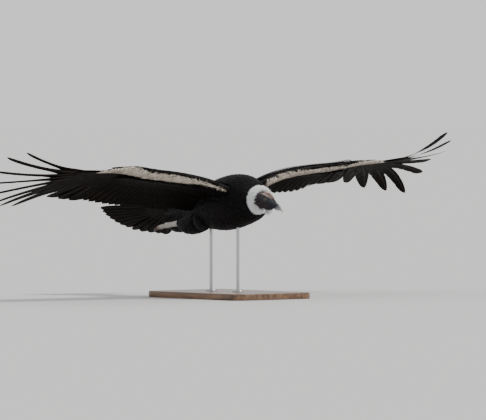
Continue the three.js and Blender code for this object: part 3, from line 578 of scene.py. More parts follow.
def core_rings(bend, rows, sides, shrink):
    """Rings of the core: the nose rounded, thickest a third of the way back."""
    out = np.linspace(WING_ROOT, HAND_END - HAND_MARGIN, rows)
    x, a = np.meshgrid(out, np.arange(sides) * TAU / sides, indexing="ij")
    share = (0.5 - 0.5 * np.cos(a)) ** CORE_NOSE
    lead, edge = curve(LEADING_EDGE, x) + shrink, curve(CORE_EDGE, x) - shrink
    high = np.where(np.sin(a) > 0, core_height(x, share, 1), core_height(x, share, -1))
    return bend(x, lead + (edge - lead) * share, high * (1 - shrink / SHRINK_DEPTH))


def primary_line(wing, index, rows):
    """Where primaries run on the flat wing, t from 0 at the root to 1 at the tip: each heads back
    at its own angle, bows, lifts and droops. Returns (n, rows, 2) and heights (n, rows)."""
    share = (index / PRIMARY_PLACES[-1])[:, None]
    innermost, outermost = np.array(PRIMARY_ROOT, float)
    root = innermost * (1 - share) + outermost * share
    length, angle, rise, fall = [
        np.interp(index, PRIMARY_PLACES, wing[key])[:, None] for key in ("length", "angle", "lift", "droop")
    ]
    t = np.linspace(0, 1, rows)
    mid = (t[1:] + t[:-1]) / 2
    heading = np.radians(angle + PRIMARY_BOW * (mid[None] - 0.5))
    line = root[:, None] + np.stack(walk(heading, length / (rows - 1)), -1)
    return line, rise * t**LIFT_POWER + fall * t**DROOP_POWER


def back_line(x, first, last, rows, lean):
    """Feathers that run straight back from first to last, leaning out a little near the wrist."""
    most, start, over = lean
    out = (most * np.maximum(0, (x - start) / over) ** 1.5)[:, None]
    first, last = [np.broadcast_to(v, x.shape)[:, None] for v in (first, last)]
    t = np.linspace(0, 1, rows)[None]
    reach = last - first
    return np.stack([x[:, None] + out * reach * t, first + reach * t], -1)


def tip_round(t, start):
    """1 up to start, then a quarter ellipse that closes at the tip."""
    past = np.clip((t - start) / (1 - start), 0, 1)
    return np.sqrt(np.clip(1 - past**2, TIP_LEAST, 1))


def ragged(t, seed):
    """A vane's edge: a few narrow splits between barbs, different on each feather."""
    draw = np.random.default_rng(seed)
    cuts = draw.uniform(0.3, 0.96, (len(t), SPLITS))[:, None]
    deep = draw.uniform(0, SPLIT_DEPTH, (len(t), SPLITS))[:, None]
    return 1 - (deep * np.exp(-(((t[..., None] - cuts) / SPLIT_WIDTH) ** 2))).sum(-1)


# Finishes. The colours are in linear light, and each pair of TONES is a mottled tone's two ends.
TONES = {
    "body_vane": ((0.00294, 0.0028, 0.00308), (0.00567, 0.0054, 0.00594)),
    "flight_black": ((0.0040, 0.0040, 0.0048), (0.0095, 0.0085, 0.0088)),
    "flight_under": ((0.0040, 0.0033, 0.0029), (0.0115, 0.0092, 0.0076)),
    "white_web": ((0.42, 0.41, 0.40), (0.66, 0.65, 0.63)),
    "covert_black": ((0.0042, 0.0040, 0.0046), (0.012, 0.0102, 0.0096)),
    # The next tone is a painted highlight: cream and buff for the sheen of sunlit black coverts.
    "covert_highlight": ((0.56, 0.48, 0.38), (0.86, 0.79, 0.69)),
    # The grey end of the next tone is painted shade at the locks' roots.
    "down": ((0.58, 0.58, 0.60), (0.90, 0.895, 0.885)),
    "face": ((0.0050, 0.0065, 0.0095), (0.020, 0.0240, 0.0320)),
    "neck": ((0.016, 0.008, 0.008), (0.060, 0.028, 0.026)),
    "crown": ((0.20, 0.135, 0.110), (0.46, 0.335, 0.275)),
    "comb": ((0.022, 0.021, 0.024), (0.075, 0.066, 0.066)),
    "iris": ((0.030, 0.012, 0.006), (0.115, 0.050, 0.020)),
    "shank": ((0.30, 0.275, 0.25), (0.52, 0.49, 0.45)),
    "toe": ((0.05, 0.026, 0.022), (0.15, 0.085, 0.07)),
    "claw": ((0.012, 0.011, 0.011), (0.05, 0.045, 0.042)),
    "undercoat": ((0.003, 0.003, 0.003), (0.009, 0.008, 0.008)),
    "walnut": ((0.075, 0.036, 0.018), (0.22, 0.12, 0.062)),
    "steel": ((0.42, 0.43, 0.44), (0.62, 0.63, 0.64)),
}
COLOURS = {
    "body_fringe": (0.017, 0.0145, 0.0135),
    "flight_worn": (0.018, 0.0155, 0.0145),
    "flight_edge": (0.085, 0.066, 0.052),
    "shaft": (0.028, 0.025, 0.024),
    "covert_fringe": (0.030, 0.025, 0.022),
    # The next two are the blots and the fringes of the coverts' painted highlight.
    "highlight_blot": (0.17, 0.13, 0.10),
    "highlight_fringe": (0.84, 0.79, 0.70),
    "soiled_down": (0.62, 0.58, 0.52),
    "maroon_fold": (0.034, 0.013, 0.014),
    # The next colour is a painted highlight along the comb's lit rim.
    "rim_highlight": (0.72, 0.69, 0.64),
    # The next colour is painted shade in the skin's folds, mouth line, ear and eye socket.
    "hollow_shade": (0.006, 0.004, 0.004),
    "horn_root": (0.030, 0.030, 0.033),
    "horn_blue": (0.165, 0.180, 0.195),
    "horn_pale": (0.50, 0.49, 0.455),
    "horn_ivory": (0.74, 0.72, 0.66),
    # The next colour is painted shade inside the nostril.
    "nostril": (0.012, 0.009, 0.009),
    "iris_rim": (0.012, 0.008, 0.007),
    "pupil": (0.002, 0.002, 0.002),
    "scale_seam": (0.03, 0.025, 0.022),
    "walnut_pore": (0.035, 0.018, 0.010),
}
# Ridges of barbs from a vane's root to its tip.
BARBS = {"body": 26.0, "covert": 30.0, "flight": 120.0}


def finish(name, **sockets):
    """A material whose shader's own sockets hold the values that are the same all over."""
    material = bpy.data.materials.new(name)
    material.use_nodes = True
    shader = material.node_tree.nodes["Principled BSDF"]
    for key, value in sockets.items():
        shader.inputs[key.replace("_", " ")].default_value = value
    return material


def node(material, kind, settings=None, out=0, **inputs):
    """A node of a material, its settings and inputs given, and its output socket. An input is
    named, or numbered as i0, i1 and so on."""
    made = material.node_tree.nodes.new("ShaderNode" + kind)
    for key, value in (settings or {}).items():
        setattr(made, key, value)
    for key, value in inputs.items():
        numbered = key[0] == "i" and key[1:].isdigit()
        socket = made.inputs[int(key[1:]) if numbered else key.replace("_", " ")]
        if isinstance(value, bpy.types.NodeSocket):
            material.node_tree.links.new(value, socket)
        else:
            socket.default_value = value
    return made.outputs[out]


def calc(material, operation, *values):
    """A sum or other operation on numbers and sockets."""
    return node(material, "Math", {"operation": operation}, **{f"i{k}": v for k, v in enumerate(values)})


def spread_to(material, value, low, high, to_low=0.0, to_high=1.0):
    """A soft step of the value from low to high, spread from to_low to to_high."""
    settings = {"interpolation_type": "SMOOTHSTEP"}
    return node(material, "MapRange", settings, i0=value, i1=low, i2=high, i3=to_low, i4=to_high)


def mixed(material, factor, first, second):
    """Two colours mixed by a factor. A colour is a name of COLOURS, three numbers or a socket."""
    pair = [COLOURS[c] if isinstance(c, str) else c for c in (first, second)]
    pair = [(*c, 1.0) if isinstance(c, tuple) else c for c in pair]
    return node(material, "Mix", {"data_type": "RGBA"}, out=2, i0=factor, i6=pair[0], i7=pair[1])


def toned(material, factor, tone):
    """A tone from its first end to its second by a factor."""
    return mixed(material, factor, *TONES[tone])


def field(material, name):
    """A value that the mesh holds at its points."""
    return node(material, "Attribute", {"attribute_name": name}, out=2)


def connect(material, socket, value):
    """Feeds a socket of the shader."""
    shader = material.node_tree.nodes["Principled BSDF"]
    material.node_tree.links.new(value, shader.inputs[socket])


def object_place(material):
    """Object coordinates."""
    return node(material, "TexCoord", out=3)


def object_noise(material, scale, detail=3.0):
    """Soft noise on object coordinates."""
    return node(material, "TexNoise", Vector=object_place(material), Scale=scale, Detail=detail)


def cells(material, scale, randomness=1.0):
    """Distance to the edge of irregular cells on object coordinates."""
    settings = {"feature": "DISTANCE_TO_EDGE"}
    at = object_place(material)
    return node(material, "TexVoronoi", settings, Vector=at, Scale=scale, Randomness=randomness)


def stretched(material, scale):
    """Object coordinates scaled differently along each axis."""
    return node(material, "Mapping", Vector=object_place(material), Scale=scale)


def bumped(material, strength, distance, height):
    """Feeds the shader's normal from a height."""
    connect(material, "Normal", node(material, "Bump", Strength=strength, Distance=distance, Height=height))


def vane_fields(material):
    """From the map vane: side (1 under, 0 over), place across (1 outer edge, -1 inner edge), and
    place along (0 root, 1 tip)."""
    parts = material.node_tree.nodes.new("ShaderNodeSeparateXYZ")
    material.node_tree.links.new(node(material, "UVMap", {"uv_map": "vane"}), parts.inputs[0])
    way, along = parts.outputs[0], parts.outputs[1]
    under = calc(material, "GREATER_THAN", way, 0.5)
    fold = calc(material, "PINGPONG", way, 0.5)
    across = calc(material, "SUBTRACT", 1.0, calc(material, "MULTIPLY", fold, 4.0))
    return under, across, along


def barbed(material, across, along, barbs, strength):
    """Fine barbs that slant from the shaft to the edge, and the shaft as a low ridge."""
    out = calc(material, "ABSOLUTE", across)
    slope = calc(material, "MULTIPLY", out, 5.0)
    slant = calc(material, "SUBTRACT", calc(material, "MULTIPLY", along, barbs), slope)
    wave = calc(material, "SINE", calc(material, "MULTIPLY", slant, TAU))
    ridge = spread_to(material, out, 0.0, 0.07, 2.5, 0.0)
    height = calc(material, "ADD", calc(material, "MULTIPLY", wave, 0.35), ridge)
    bumped(material, strength, 0.0004, height)


def plumage_finish(name):
    """Body feathers: a dark vane with a slightly paler fringe, differing from feather to feather."""
    m = finish(name, Roughness=0.6, Sheen_Weight=0.008, Sheen_Roughness=0.4, Specular_IOR_Level=0.06)
    _, across, along = vane_fields(m)
    out = calc(m, "ABSOLUTE", across)
    edge = calc(m, "MAXIMUM", spread_to(m, out, 0.55, 1.0), spread_to(m, along, 0.72, 1.0))
    shade = field(m, "shade")
    worn = calc(m, "MULTIPLY", calc(m, "MULTIPLY", edge, 0.7), spread_to(m, shade, 0.1, 1.0, 0.35, 1.0))
    patch = spread_to(m, object_noise(m, 7.0), 0.42, 0.66, 0.0, 0.25)
    vane = mixed(m, patch, toned(m, shade, "body_vane"), "body_fringe")
    connect(m, "Base Color", mixed(m, worn, vane, "body_fringe"))
    barbed(m, across, along, BARBS["body"], 0.5)
    return m


def flight_finish(name):
    """Flight feathers: satin black; pale shows the white outer web above, the field pale says how
    much; underneath a dull brown-grey with a pale shaft and a thin pale outer edge."""
    m = finish(name, Specular_IOR_Level=0.012)
    under, across, along = vane_fields(m)
    out = calc(m, "ABSOLUTE", across)
    vane_map = node(m, "UVMap", {"uv_map": "vane"})
    streak = node(m, "TexNoise", Vector=vane_map, Scale=9.0, Detail=5.0, Distortion=0.8)
    black = toned(m, field(m, "shade"), "flight_black")
    black = mixed(m, spread_to(m, streak, 0.5, 0.75, 0.0, 0.5), black, "flight_worn")
    web = calc(m, "MULTIPLY", spread_to(m, across, -0.5, -0.3), field(m, "pale"))
    web = calc(m, "MULTIPLY", web, spread_to(m, along, 0.9, 1.0, 1.0, 0.35))
    above = mixed(m, web, black, toned(m, streak, "white_web"))
    above = mixed(m, spread_to(m, out, 0.03, 0.06, 0.7, 0.0), above, "shaft")
    shaft = spread_to(m, out, 0.035, 0.075, 1.0, 0.0)
    line = calc(m, "MAXIMUM", shaft, spread_to(m, across, 0.9, 0.985, 0.0, 0.8))
    below = mixed(m, calc(m, "MULTIPLY", line, 0.55), toned(m, streak, "flight_under"), "flight_edge")
    connect(m, "Base Color", mixed(m, under, above, below))
    connect(m, "Roughness", spread_to(m, streak, 0.3, 0.8, 0.46, 0.72))
    barbed(m, across, along, BARBS["flight"], 0.45)
    return m


def covert_finish(name):
    """Small wing coverts: dark, or, where the field pale says so, a painted highlight of mottled cream
    and buff that stands for the sheen of sunlit black coverts.
    """
    m = finish(name, Roughness=0.65, Specular_IOR_Level=0.02)
    _, across, along = vane_fields(m)
    out = calc(m, "ABSOLUTE", across)
    shade = field(m, "shade")
    blot = object_noise(m, 60.0, 4.0)
    edge = calc(m, "MAXIMUM", spread_to(m, out, 0.6, 1.0), spread_to(m, along, 0.7, 1.0))
    dark = mixed(m, calc(m, "MULTIPLY", edge, 0.45), toned(m, shade, "covert_black"), "covert_fringe")
    # Painted highlight: the sheen of sunlit coverts as mottled cream and buff.
    highlight = mixed(m, spread_to(m, blot, 0.52, 0.72, 0.0, 0.7), toned(m, shade, "covert_highlight"), "highlight_blot")
    highlight = mixed(m, calc(m, "MULTIPLY", edge, 0.6), highlight, "highlight_fringe")
    pale = calc(m, "ADD", field(m, "pale"), spread_to(m, blot, 0.3, 0.7, -0.22, 0.22))
    connect(m, "Base Color", mixed(m, spread_to(m, pale, 0.22, 0.88), dark, highlight))
    barbed(m, across, along, BARBS["covert"], 0.45)
    return m


def down_finish(name):
    """White down, a little warm, with painted shade: greyer towards each lock's root, deep in the ruff."""
    m = finish(name, Roughness=0.9, Sheen_Weight=0.3, Sheen_Roughness=0.6, Specular_IOR_Level=0.2,
               Subsurface_Weight=0.2, Subsurface_Scale=0.006)
    _, _, along = vane_fields(m)
    # Painted shade: grey at each lock's root, white from the middle out.
    tone = toned(m, spread_to(m, along, 0.0, 0.6), "down")
    soiled = spread_to(m, object_noise(m, 26.0, 4.0), 0.55, 0.8, 0.0, 0.3)
    connect(m, "Base Color", mixed(m, soiled, tone, "soiled_down"))
    return m


def head_finish(name):
    """Bare skin: blue-black cheeks, maroon folds and neck, a pinkish crown behind the eyes and a
    dark comb whose rim takes a painted highlight, with painted shade in the folds, the mouth line,
    the ear and round the eye. The fields comb, rim, crown, folds, neck and hollow say where."""
    m = finish(name, Specular_IOR_Level=0.28, Subsurface_Weight=0.06, Subsurface_Scale=0.003)
    fine = object_noise(m, 240.0, 5.0)
    broad = object_noise(m, 45.0, 3.0)
    skin = toned(m, broad, "face")
    skin = mixed(m, calc(m, "MULTIPLY", field(m, "neck"), 0.85), skin, toned(m, broad, "neck"))
    skin = mixed(m, calc(m, "MULTIPLY", field(m, "folds"), 0.45), skin, "maroon_fold")
    skin = mixed(m, field(m, "crown"), skin, toned(m, broad, "crown"))
    skin = mixed(m, field(m, "comb"), skin, toned(m, fine, "comb"))
    # Painted highlight along the comb's rim, and faintly in a ring round each eye.
    skin = mixed(m, calc(m, "MULTIPLY", field(m, "rim"), 0.9), skin, "rim_highlight")
    # Painted shade in the grooves of the folds, the mouth line, the ear and round the eye.
    skin = mixed(m, calc(m, "MULTIPLY", field(m, "hollow"), 0.65), skin, "hollow_shade")
    connect(m, "Base Color", skin)
    connect(m, "Roughness", spread_to(m, fine, 0.3, 0.7, 0.42, 0.68))
    pores = spread_to(m, cells(m, 520.0), 0.0, 0.25)
    bumped(m, 0.45, 0.0005, calc(m, "ADD", pores, calc(m, "MULTIPLY", fine, 0.8)))
    return m


def bill_finish(name):
    """Horn: dark at its base, blue-grey, then ivory at the tip, with fine streaks along it."""
    m = finish(name, Specular_IOR_Level=0.5, Coat_Weight=0.15, Coat_Roughness=0.3)
    streak = object_noise(m, 110.0, 5.0)
    # ahead also carries the painted highlight along the upper bill's crest.
    ahead = calc(m, "ADD", field(m, "ahead"), spread_to(m, streak, 0.3, 0.7, -0.12, 0.12))
    horn = mixed(m, spread_to(m, ahead, 0.08, 0.42), "horn_root", "horn_blue")
    horn = mixed(m, spread_to(m, ahead, 0.45, 0.82), horn, "horn_pale")
    horn = mixed(m, spread_to(m, ahead, 0.85, 1.05), horn, "horn_ivory")
    # Painted shade inside the nostril.
    horn = mixed(m, field(m, "hollow"), horn, "nostril")
    connect(m, "Base Color", horn)
    connect(m, "Roughness", spread_to(m, streak, 0.3, 0.7, 0.30, 0.5))
    bumped(m, 0.25, 0.0004, streak)
    return m


def eye_finish(name):
    """A brown iris with a dark rim and a black pupil, by the angle from the line of sight."""
    m = finish(name, Roughness=0.06, Coat_Weight=0.6, Coat_Roughness=0.02, Specular_IOR_Level=0.6)
    gaze = field(m, "gaze")
    iris = toned(m, object_noise(m, 1500.0, 4.0), "iris")
    iris = mixed(m, spread_to(m, gaze, 0.62, 0.72), iris, "iris_rim")
    connect(m, "Base Color", mixed(m, spread_to(m, gaze, 0.30, 0.34), "pupil", iris))
    return m


def foot_finish(name):
    """Scaly skin: pale grey shanks and soles, reddish-brown toes darker towards the claws."""
    m = finish(name, Specular_IOR_Level=0.35)
    seam = spread_to(m, cells(m, 230.0, 0.7), 0.0, 0.12)
    broad = object_noise(m, 60.0, 4.0)
    reddish = spread_to(m, field(m, "toe"), 0.35, 0.85)
    skin = mixed(m, reddish, toned(m, broad, "shank"), toned(m, broad, "toe"))
    connect(m, "Base Color", mixed(m, seam, mixed(m, 0.5, skin, "scale_seam"), skin))
    connect(m, "Roughness", spread_to(m, broad, 0.3, 0.7, 0.5, 0.75))
    bumped(m, 0.6, 0.0006, seam)
    return m


def wood_finish(name):
    """Varnished walnut, its grain running along the base."""
    m = finish(name, Coat_Weight=0.35, Coat_Roughness=0.18, Specular_IOR_Level=0.45)
    along = stretched(m, (14.0, 1.1, 14.0))
    grain = node(m, "TexNoise", Vector=along, Scale=3.2, Detail=7.0, Distortion=1.1)
    pores = node(m, "TexNoise", Vector=stretched(m, (260.0, 7.0, 260.0)), Scale=1.0, Detail=2.0)
    wood = toned(m, spread_to(m, grain, 0.3, 0.7), "walnut")
    wood = mixed(m, spread_to(m, pores, 0.58, 0.72, 0.0, 0.6), wood, "walnut_pore")
    connect(m, "Base Color", wood)
    connect(m, "Roughness", spread_to(m, grain, 0.3, 0.7, 0.34, 0.46))
    bumped(m, 0.12, 0.0003, pores)
    return m


def steel_finish(name):
    """Brushed steel, with fine scratches round the rods."""
    m = finish(name, Metallic=1.0, Specular_IOR_Level=0.5)
    brush = node(m, "TexNoise", Vector=stretched(m, (6.0, 6.0, 900.0)), Scale=1.0, Detail=4.0)
    connect(m, "Base Color", toned(m, brush, "steel"))
    connect(m, "Roughness", spread_to(m, brush, 0.3, 0.7, 0.26, 0.42))
    return m


def mottled_finish(name, scale, tone, **sockets):
    """A plain dark surface whose tone varies by soft noise."""
    m = finish(name, **sockets)
    connect(m, "Base Color", toned(m, object_noise(m, scale), tone))
    return m


BODY_FEATHERS = plumage_finish("body_feathers")
FLIGHT = flight_finish("flight_feathers")
COVERTS = covert_finish("wing_coverts")
DOWN = down_finish("ruff_down")
HEAD_SKIN = head_finish("head_skin")
HORN = bill_finish("bill_horn")
EYE = eye_finish("eye_gloss")
SCALES = foot_finish("foot_scales")
WOOD = wood_finish("base_walnut")
STEEL = steel_finish("stand_steel")
UNDERCOAT = mottled_finish("undercoat_skin", 120.0, "undercoat", Roughness=0.85)
CLAW = mottled_finish("claw_horn", 200.0, "claw", Roughness=0.32, Specular_IOR_Level=0.5)


# Body: one skin under the feathers, then the coat.
BENDS = {name: bender(wing) for name, wing in WING.items()}
TAIL = {"at": (0, 556, -40), "droop": 9, "roll": 23, "fan": 30, "length": 400, "feathers": 12, "root": 27}
RUMP = [(0, 500, -40, 26), (0, 560, -41, 22), (0, 640, -52, 6)]
VENT = [(0, 390, -72, 58), (0, 460, -98, 58), (0, 530, -120, 50), (0, 612, -112, 26)]
TAIL_TURN = turn(1, TAIL["roll"]) @ turn(0, -TAIL["droop"])
BODY_VOXEL, BODY_SOFTEN = 4.0, 4
CORE_SHRINK = 4
# A grid is the number of rings along a form and of points round it.
TORSO_GRID, CORE_GRID, LIMB_GRID, RUMP_GRID = (50, 64), (60, 40), (24, 28), (10, 20)
COAT_ROWS, COAT_COLUMNS = 6, 5
COAT_SHAPE = [[0, 0.45], [0.35, 0.85], [0.62, 1], [0.85, 0.82], [1, 0.18]]
COAT_THICK = 0.28
COAT_ARCH = 0.1
TORSO_FEATHERS = [[-118, 20], [-60, 30], [60, 44], [250, 56], [450, 62], [575, 58]]
TORSO_COAT_FROM, TORSO_COAT_TO = 560.0, -112
TORSO_COAT_LIFT = (-5.0, 0.6)
TUBE_COAT_LIFT = (-4.5, 0.4)
TUBE_COAT_STEP = 10.0


def torso_rings(rows, sides, grow):
    """Rings of the torso from its front end to its back end."""
    y = np.linspace(TORSO_ENDS[0] - grow, TORSO_ENDS[1] + grow, rows)[:, None]
    x = (np.arange(sides) * TAU / sides * ARC)[None]
    return torso_surface(x + 0 * y, y + 0 * x, grow)


def body_skin():
    """The skin that the coat stands on: torso, thighs, wing cores, rump and vent in one."""
    parts = [loft(torso_rings(*TORSO_GRID, -COAT_DEPTH))]
    for name in WING:
        parts.append(tube(thigh_rows(name), *LIMB_GRID, -COAT_DEPTH))
        parts.append(loft(core_rings(BENDS[name], *CORE_GRID, CORE_SHRINK)))
    parts.append(tube(RUMP, *RUMP_GRID))
    parts.append(tube(VENT, *LIMB_GRID, -COAT_DEPTH))
    points, faces = fused("body_skin_blank", parts, BODY_VOXEL, BODY_SOFTEN)
    piece = mesh_object("body_skin", place(points), faces)
    return finished(piece, UNDERCOAT, "plumage", "torso", "thigh_left", "thigh_right")


def coat_batch(carry, root, heading, length, half, height, unwrap, seed, pale=0.0):
    """Small body feathers: each runs straight from its root on the chart at its heading, widest
    past its middle, round at the tip, its tip lifted over the next row."""
    draw = np.random.default_rng(seed)
    n = len(root)
    t = np.linspace(0, 1, COAT_ROWS)[None]
    heading = heading + draw.normal(0, 0.10, n)
    length = length * draw.uniform(0.86, 1.14, n)
    half = half * draw.uniform(0.88, 1.12, n)
    way = heading[:, None] + draw.normal(0, 0.12, n)[:, None] * t
    reach = length[:, None] * t
    line = root[:, None] + np.stack([np.cos(way) * reach, np.sin(way) * reach], -1)
    wide = curve(COAT_SHAPE, t) * half[:, None]
    low, high = height
    lift = low + (high - low) * t**0.8 + draw.normal(0, 0.25, n)[:, None]
    thick = np.full((n, COAT_ROWS), COAT_THICK) * (1 - 0.5 * t)
    fields = {"shade": draw.uniform(0, 1, n), "pale": np.full(n, pale)}
    slope = draw.normal(0, 0.05, n)
    patches = patches_at(*unwrap)
    return vanes(carry, line, lift, wide, wide, thick, COAT_COLUMNS, slope, COAT_ARCH, patches, fields)


def staggered(count, row, round_length):
    """Places evenly round a ring, every second row half a step on."""
    return (np.arange(count) + 0.5 * (row % 2)) * round_length / count


def torso_coat():
    """Feathers in staggered rows round the torso, from the tail forward, small at the neck."""
    carry = surface_chart(torso_surface)
    batches = []
    draw = np.random.default_rng(11)
    y = TORSO_COAT_FROM
    while y > TORSO_COAT_TO:
        row = len(batches)
        size = float(curve(TORSO_FEATHERS, y))
        girth = float(curve(TORSO, y, 2) + curve(TORSO, y, 3)) * 0.5
        count = int(np.clip(TAU * girth / (size * 0.52), 14, 60))
        x = staggered(count, row, TAU * ARC) + draw.normal(0, 1.2, count)
        back = y + draw.normal(0, size * 0.07, count)
        root = np.stack([x, back], 1)
        half = size * 0.40 * ARC / girth
        unwrap = ((x / (TAU * ARC)) % 1.0, (back - TORSO_ENDS[0] + 30) / 760)
        batches.append(coat_batch(carry, root, np.pi / 2, size, half, TORSO_COAT_LIFT, unwrap, 100 + row))
        y -= size * 0.27
    return feather_piece("torso_feathers", batches, BODY_FEATHERS, "plumage")


def tube_coat(name, rows_of, length, radius, count, half, seed):
    """Feathers down a tube of the given length and usual radius, long and loose at its lower end."""
    point = tube_along(rows_of)
    carry = surface_chart(lambda x, y: point(y / length, x / radius))
    batches = []
    for row, y in enumerate(np.arange(0.885 * length, 12, -TUBE_COAT_STEP)):
        size = min(40 - 0.02 * y, length + 6 - y)
        x = staggered(count, row, TAU * radius)
        root = np.stack([x, np.full(count, y)], 1)
        unwrap = ((x / (TAU * radius)) % 1.0, np.full(count, y / length))
        batches.append(coat_batch(carry, root, np.pi / 2, size, half, TUBE_COAT_LIFT, unwrap, seed + row))
    feather_piece(name, batches, BODY_FEATHERS, "plumage")


# Wing feathers. WHITE_FROM is where the white of the upper side begins, by distance out.
FLIGHT_ARCH = 0.02
WHITE_FROM = (150, 260)
FINGER_FROM = (2.5, 5.5)
BLUNT_BELOW = (1.2, 0.2)
FLIGHT_COLUMNS, COVERT_COLUMNS = 9, 7
SECONDARY_ROWS = 34
SECONDARY_SPAN = (118, 734, 23)
GREATER_SPAN = (120, 728, 24)
MEDIAN_SPAN = (126, 716)
# Tiers of median coverts, two above, one below and the lining below it: how many, where they start
# and end behind the middle line, their heights at root, middle and tip, their outer and inner half
# widths, and the seed of their draw. MEDIAN_WHITE is how white each of the first three is.
MEDIAN_TIERS = (
    (26, -6, 106, (8, 17, 8.6), (15, 22), 51),
    (28, -34, 62, (14, 24, 19), (14, 19), 53),
    (26, 34, 124, (-10, -9, -6.6), (15, 22), 55),
    (28, 22, 92, (-27, -24, -12), (14, 19), 57),
)
MEDIAN_WHITE = (0.9, 0.5, 0.0)
MEDIAN_WHITE_FROM = (170, 280)
LINING_TIER = 3
LINING_FROM, LINING_TO = (110, 150), (430, 300)
ALULA_ROOT = [[750, -60], [748, -46], [746, -32.0]]
ALULA_ANGLE = [3, 9, 16]
ALULA_LENGTH = [126, 110, 90.0]
ALULA_HEIGHT = ([5, 6, 6], [5, 6.5, 9])


def flight_batch(carry, line, lift, widths, tip, columns, slope, pale, seed, band, shape=None):
    """Long flight feathers with a stiff shaft, a rounded tip and a few splits at their edges.
    widths are the outer and the inner half of a vane, tip is where its end starts to round."""
    n, rows, _ = line.shape
    t = np.broadcast_to(np.linspace(0, 1, rows), (n, rows))
    full = (curve(FLIGHT_SHAPE, t) if shape is None else shape) * tip_round(t, tip)
    thick = 0.25 + 0.75 * (1 - 0.8 * t)
    fields = {"shade": np.random.default_rng(seed).uniform(0, 1, n), "pale": np.broadcast_to(pale, n)}
    outer, inner = [
        np.broadcast_to(half, n)[:, None] * full * ragged(t, seed + k) for k, half in enumerate(widths)
    ]
    lift = np.broadcast_to(lift, (n, rows))
    patches = strips(n, *band)
    return vanes(carry, line, lift, outer, inner, thick, columns, slope, FLIGHT_ARCH, patches, fields)


def three_point(h, t):
    """A curve through a height at the root, the middle and the tip."""
    return h[0] * (1 - t) ** 2 + (4 * h[1] - h[0] - h[2]) * t * (1 - t) + h[2] * t**2


def settled(t, least):
    """Rises from least at the root to 1 a third of the way out."""
    return least + (1 - least) * np.minimum(1, 3 * t)


def covert_tier(bend, x, first, last, heights, rows, widths, tip, slope, pale, seed, band):
    """One tier of coverts rooted at x that run back from first to last, their heights a curve
    through those of root, middle and tip."""
    line = back_line(x, first, last, rows, COVERT_LEAN)
    lift = three_point(heights, np.linspace(0, 1, rows)[None])
    return flight_batch(bend, line, lift, widths, tip, COVERT_COLUMNS, slope, pale, seed, band)


def primaries(wing, bend):
    """The hand's long feathers: the outer ones narrow past their middle like fingers, the inner
    ones stay broad and blunt, and each blade tips by its own slope."""
    index = PRIMARY_PLACES
    line, lift = primary_line(wing, index, PRIMARY_ROWS)
    share = np.clip(index / index[-1], 0, 1)
    t = np.linspace(0, 1, PRIMARY_ROWS)[None]
    fingered = smooth(*FINGER_FROM, index)[:, None]
    blunt = smooth(*BLUNT_BELOW, index)
    shape = curve(INNER_SHAPE, t) * (1 - fingered) + curve(PRIMARY_SHAPE, t) * fingered
    shape = shape * (1 - blunt[:, None]) + curve(FLIGHT_SHAPE, t) * blunt[:, None]
    slope = 0.1 + (np.array(wing["turned"])[:, None] - 0.1) * smooth(0.35, 0.75, t)
    widths = (26 - 9 * share, 52 - 8 * share + 8 * blunt)
    return flight_batch(bend, line, lift, widths, tip=0.9, columns=FLIGHT_COLUMNS, slope=slope, pale=0.0,
                        seed=21, band=(0.01, 0.24), shape=shape)


def secondaries(bend):
    """The arm's long feathers, white on their outer webs above."""
    x = np.linspace(*SECONDARY_SPAN)
    line = back_line(x, SECONDARY_ROOT, curve(SECONDARY_TIPS, x), SECONDARY_ROWS, SECONDARY_LEAN)
    return flight_batch(bend, line, 0.0, widths=(17.0, 36.0), tip=0.86, columns=FLIGHT_COLUMNS, slope=0.055,
                        pale=smooth(*WHITE_FROM, x), seed=23, band=(0.26, 0.48))


def primary_coverts(wing, bend, height, end, pale, seed, band):
    """Short feathers over or under the primaries, along the first part of each one's line."""
    line, lift = primary_line(wing, PRIMARY_COVERT_PLACES, PRIMARY_ROWS)
    line, lift = line[:, 1:end], lift[:, 1:end]
    lift = lift + height * settled(np.linspace(0, 1, end - 1)[None], 0.5)
    return flight_batch(bend, line, lift, widths=(15.0, 22.0), tip=0.78, columns=COVERT_COLUMNS,
                        slope=0.09, pale=pale, seed=seed, band=band)


def wing_flight(name):
    """Primaries, secondaries and their greater coverts above and below, in tiers."""
    wing, bend = WING[name], BENDS[name]
    x = np.linspace(*GREATER_SPAN)
    white = smooth(*WHITE_FROM, x) * 0.95
    shape = {"rows": 16, "widths": (17.0, 24.0), "tip": 0.8, "slope": 0.055}
    batches = [
        primaries(wing, bend),
        secondaries(bend),
        covert_tier(bend, x, 40, 176, (4.6, 4.6, 3.6), pale=white, seed=25, band=(0.50, 0.60), **shape),
        covert_tier(bend, x, 30, 160, (-4.2, -4.4, -3.6), pale=0.0, seed=27, band=(0.62, 0.72), **shape),
        primary_coverts(wing, bend, height=5.4, end=17, pale=0.25, seed=29, band=(0.74, 0.84)),
        primary_coverts(wing, bend, height=-4.6, end=15, pale=0.0, seed=31, band=(0.86, 0.96)),
    ]
    nodes = (f"wing_{name}_arm", f"wing_{name}_hand")
    feather_piece(f"wing_flight_{name}", batches, FLIGHT, "flight_feathers", *nodes)


NOSE_SHARES = np.linspace(0, 1, 200)
NOSE_REACH = 190.0
NOSE_HEIGHT = 66.0
NOSE_CHORD_LEAST = 30
WING_COAT_FROM = 96
WING_COAT_SIZE = [[0, 20], [40, 30], [100, 44], [160, 56]]
WING_COAT_ENDS = ([0, 30, 90, 150], [956, 930, 800, 700])
WING_COAT_ROWS = ((1, 11.0), (-1, 10.0))
WING_COAT_LIFT = (0.4, 2.6)


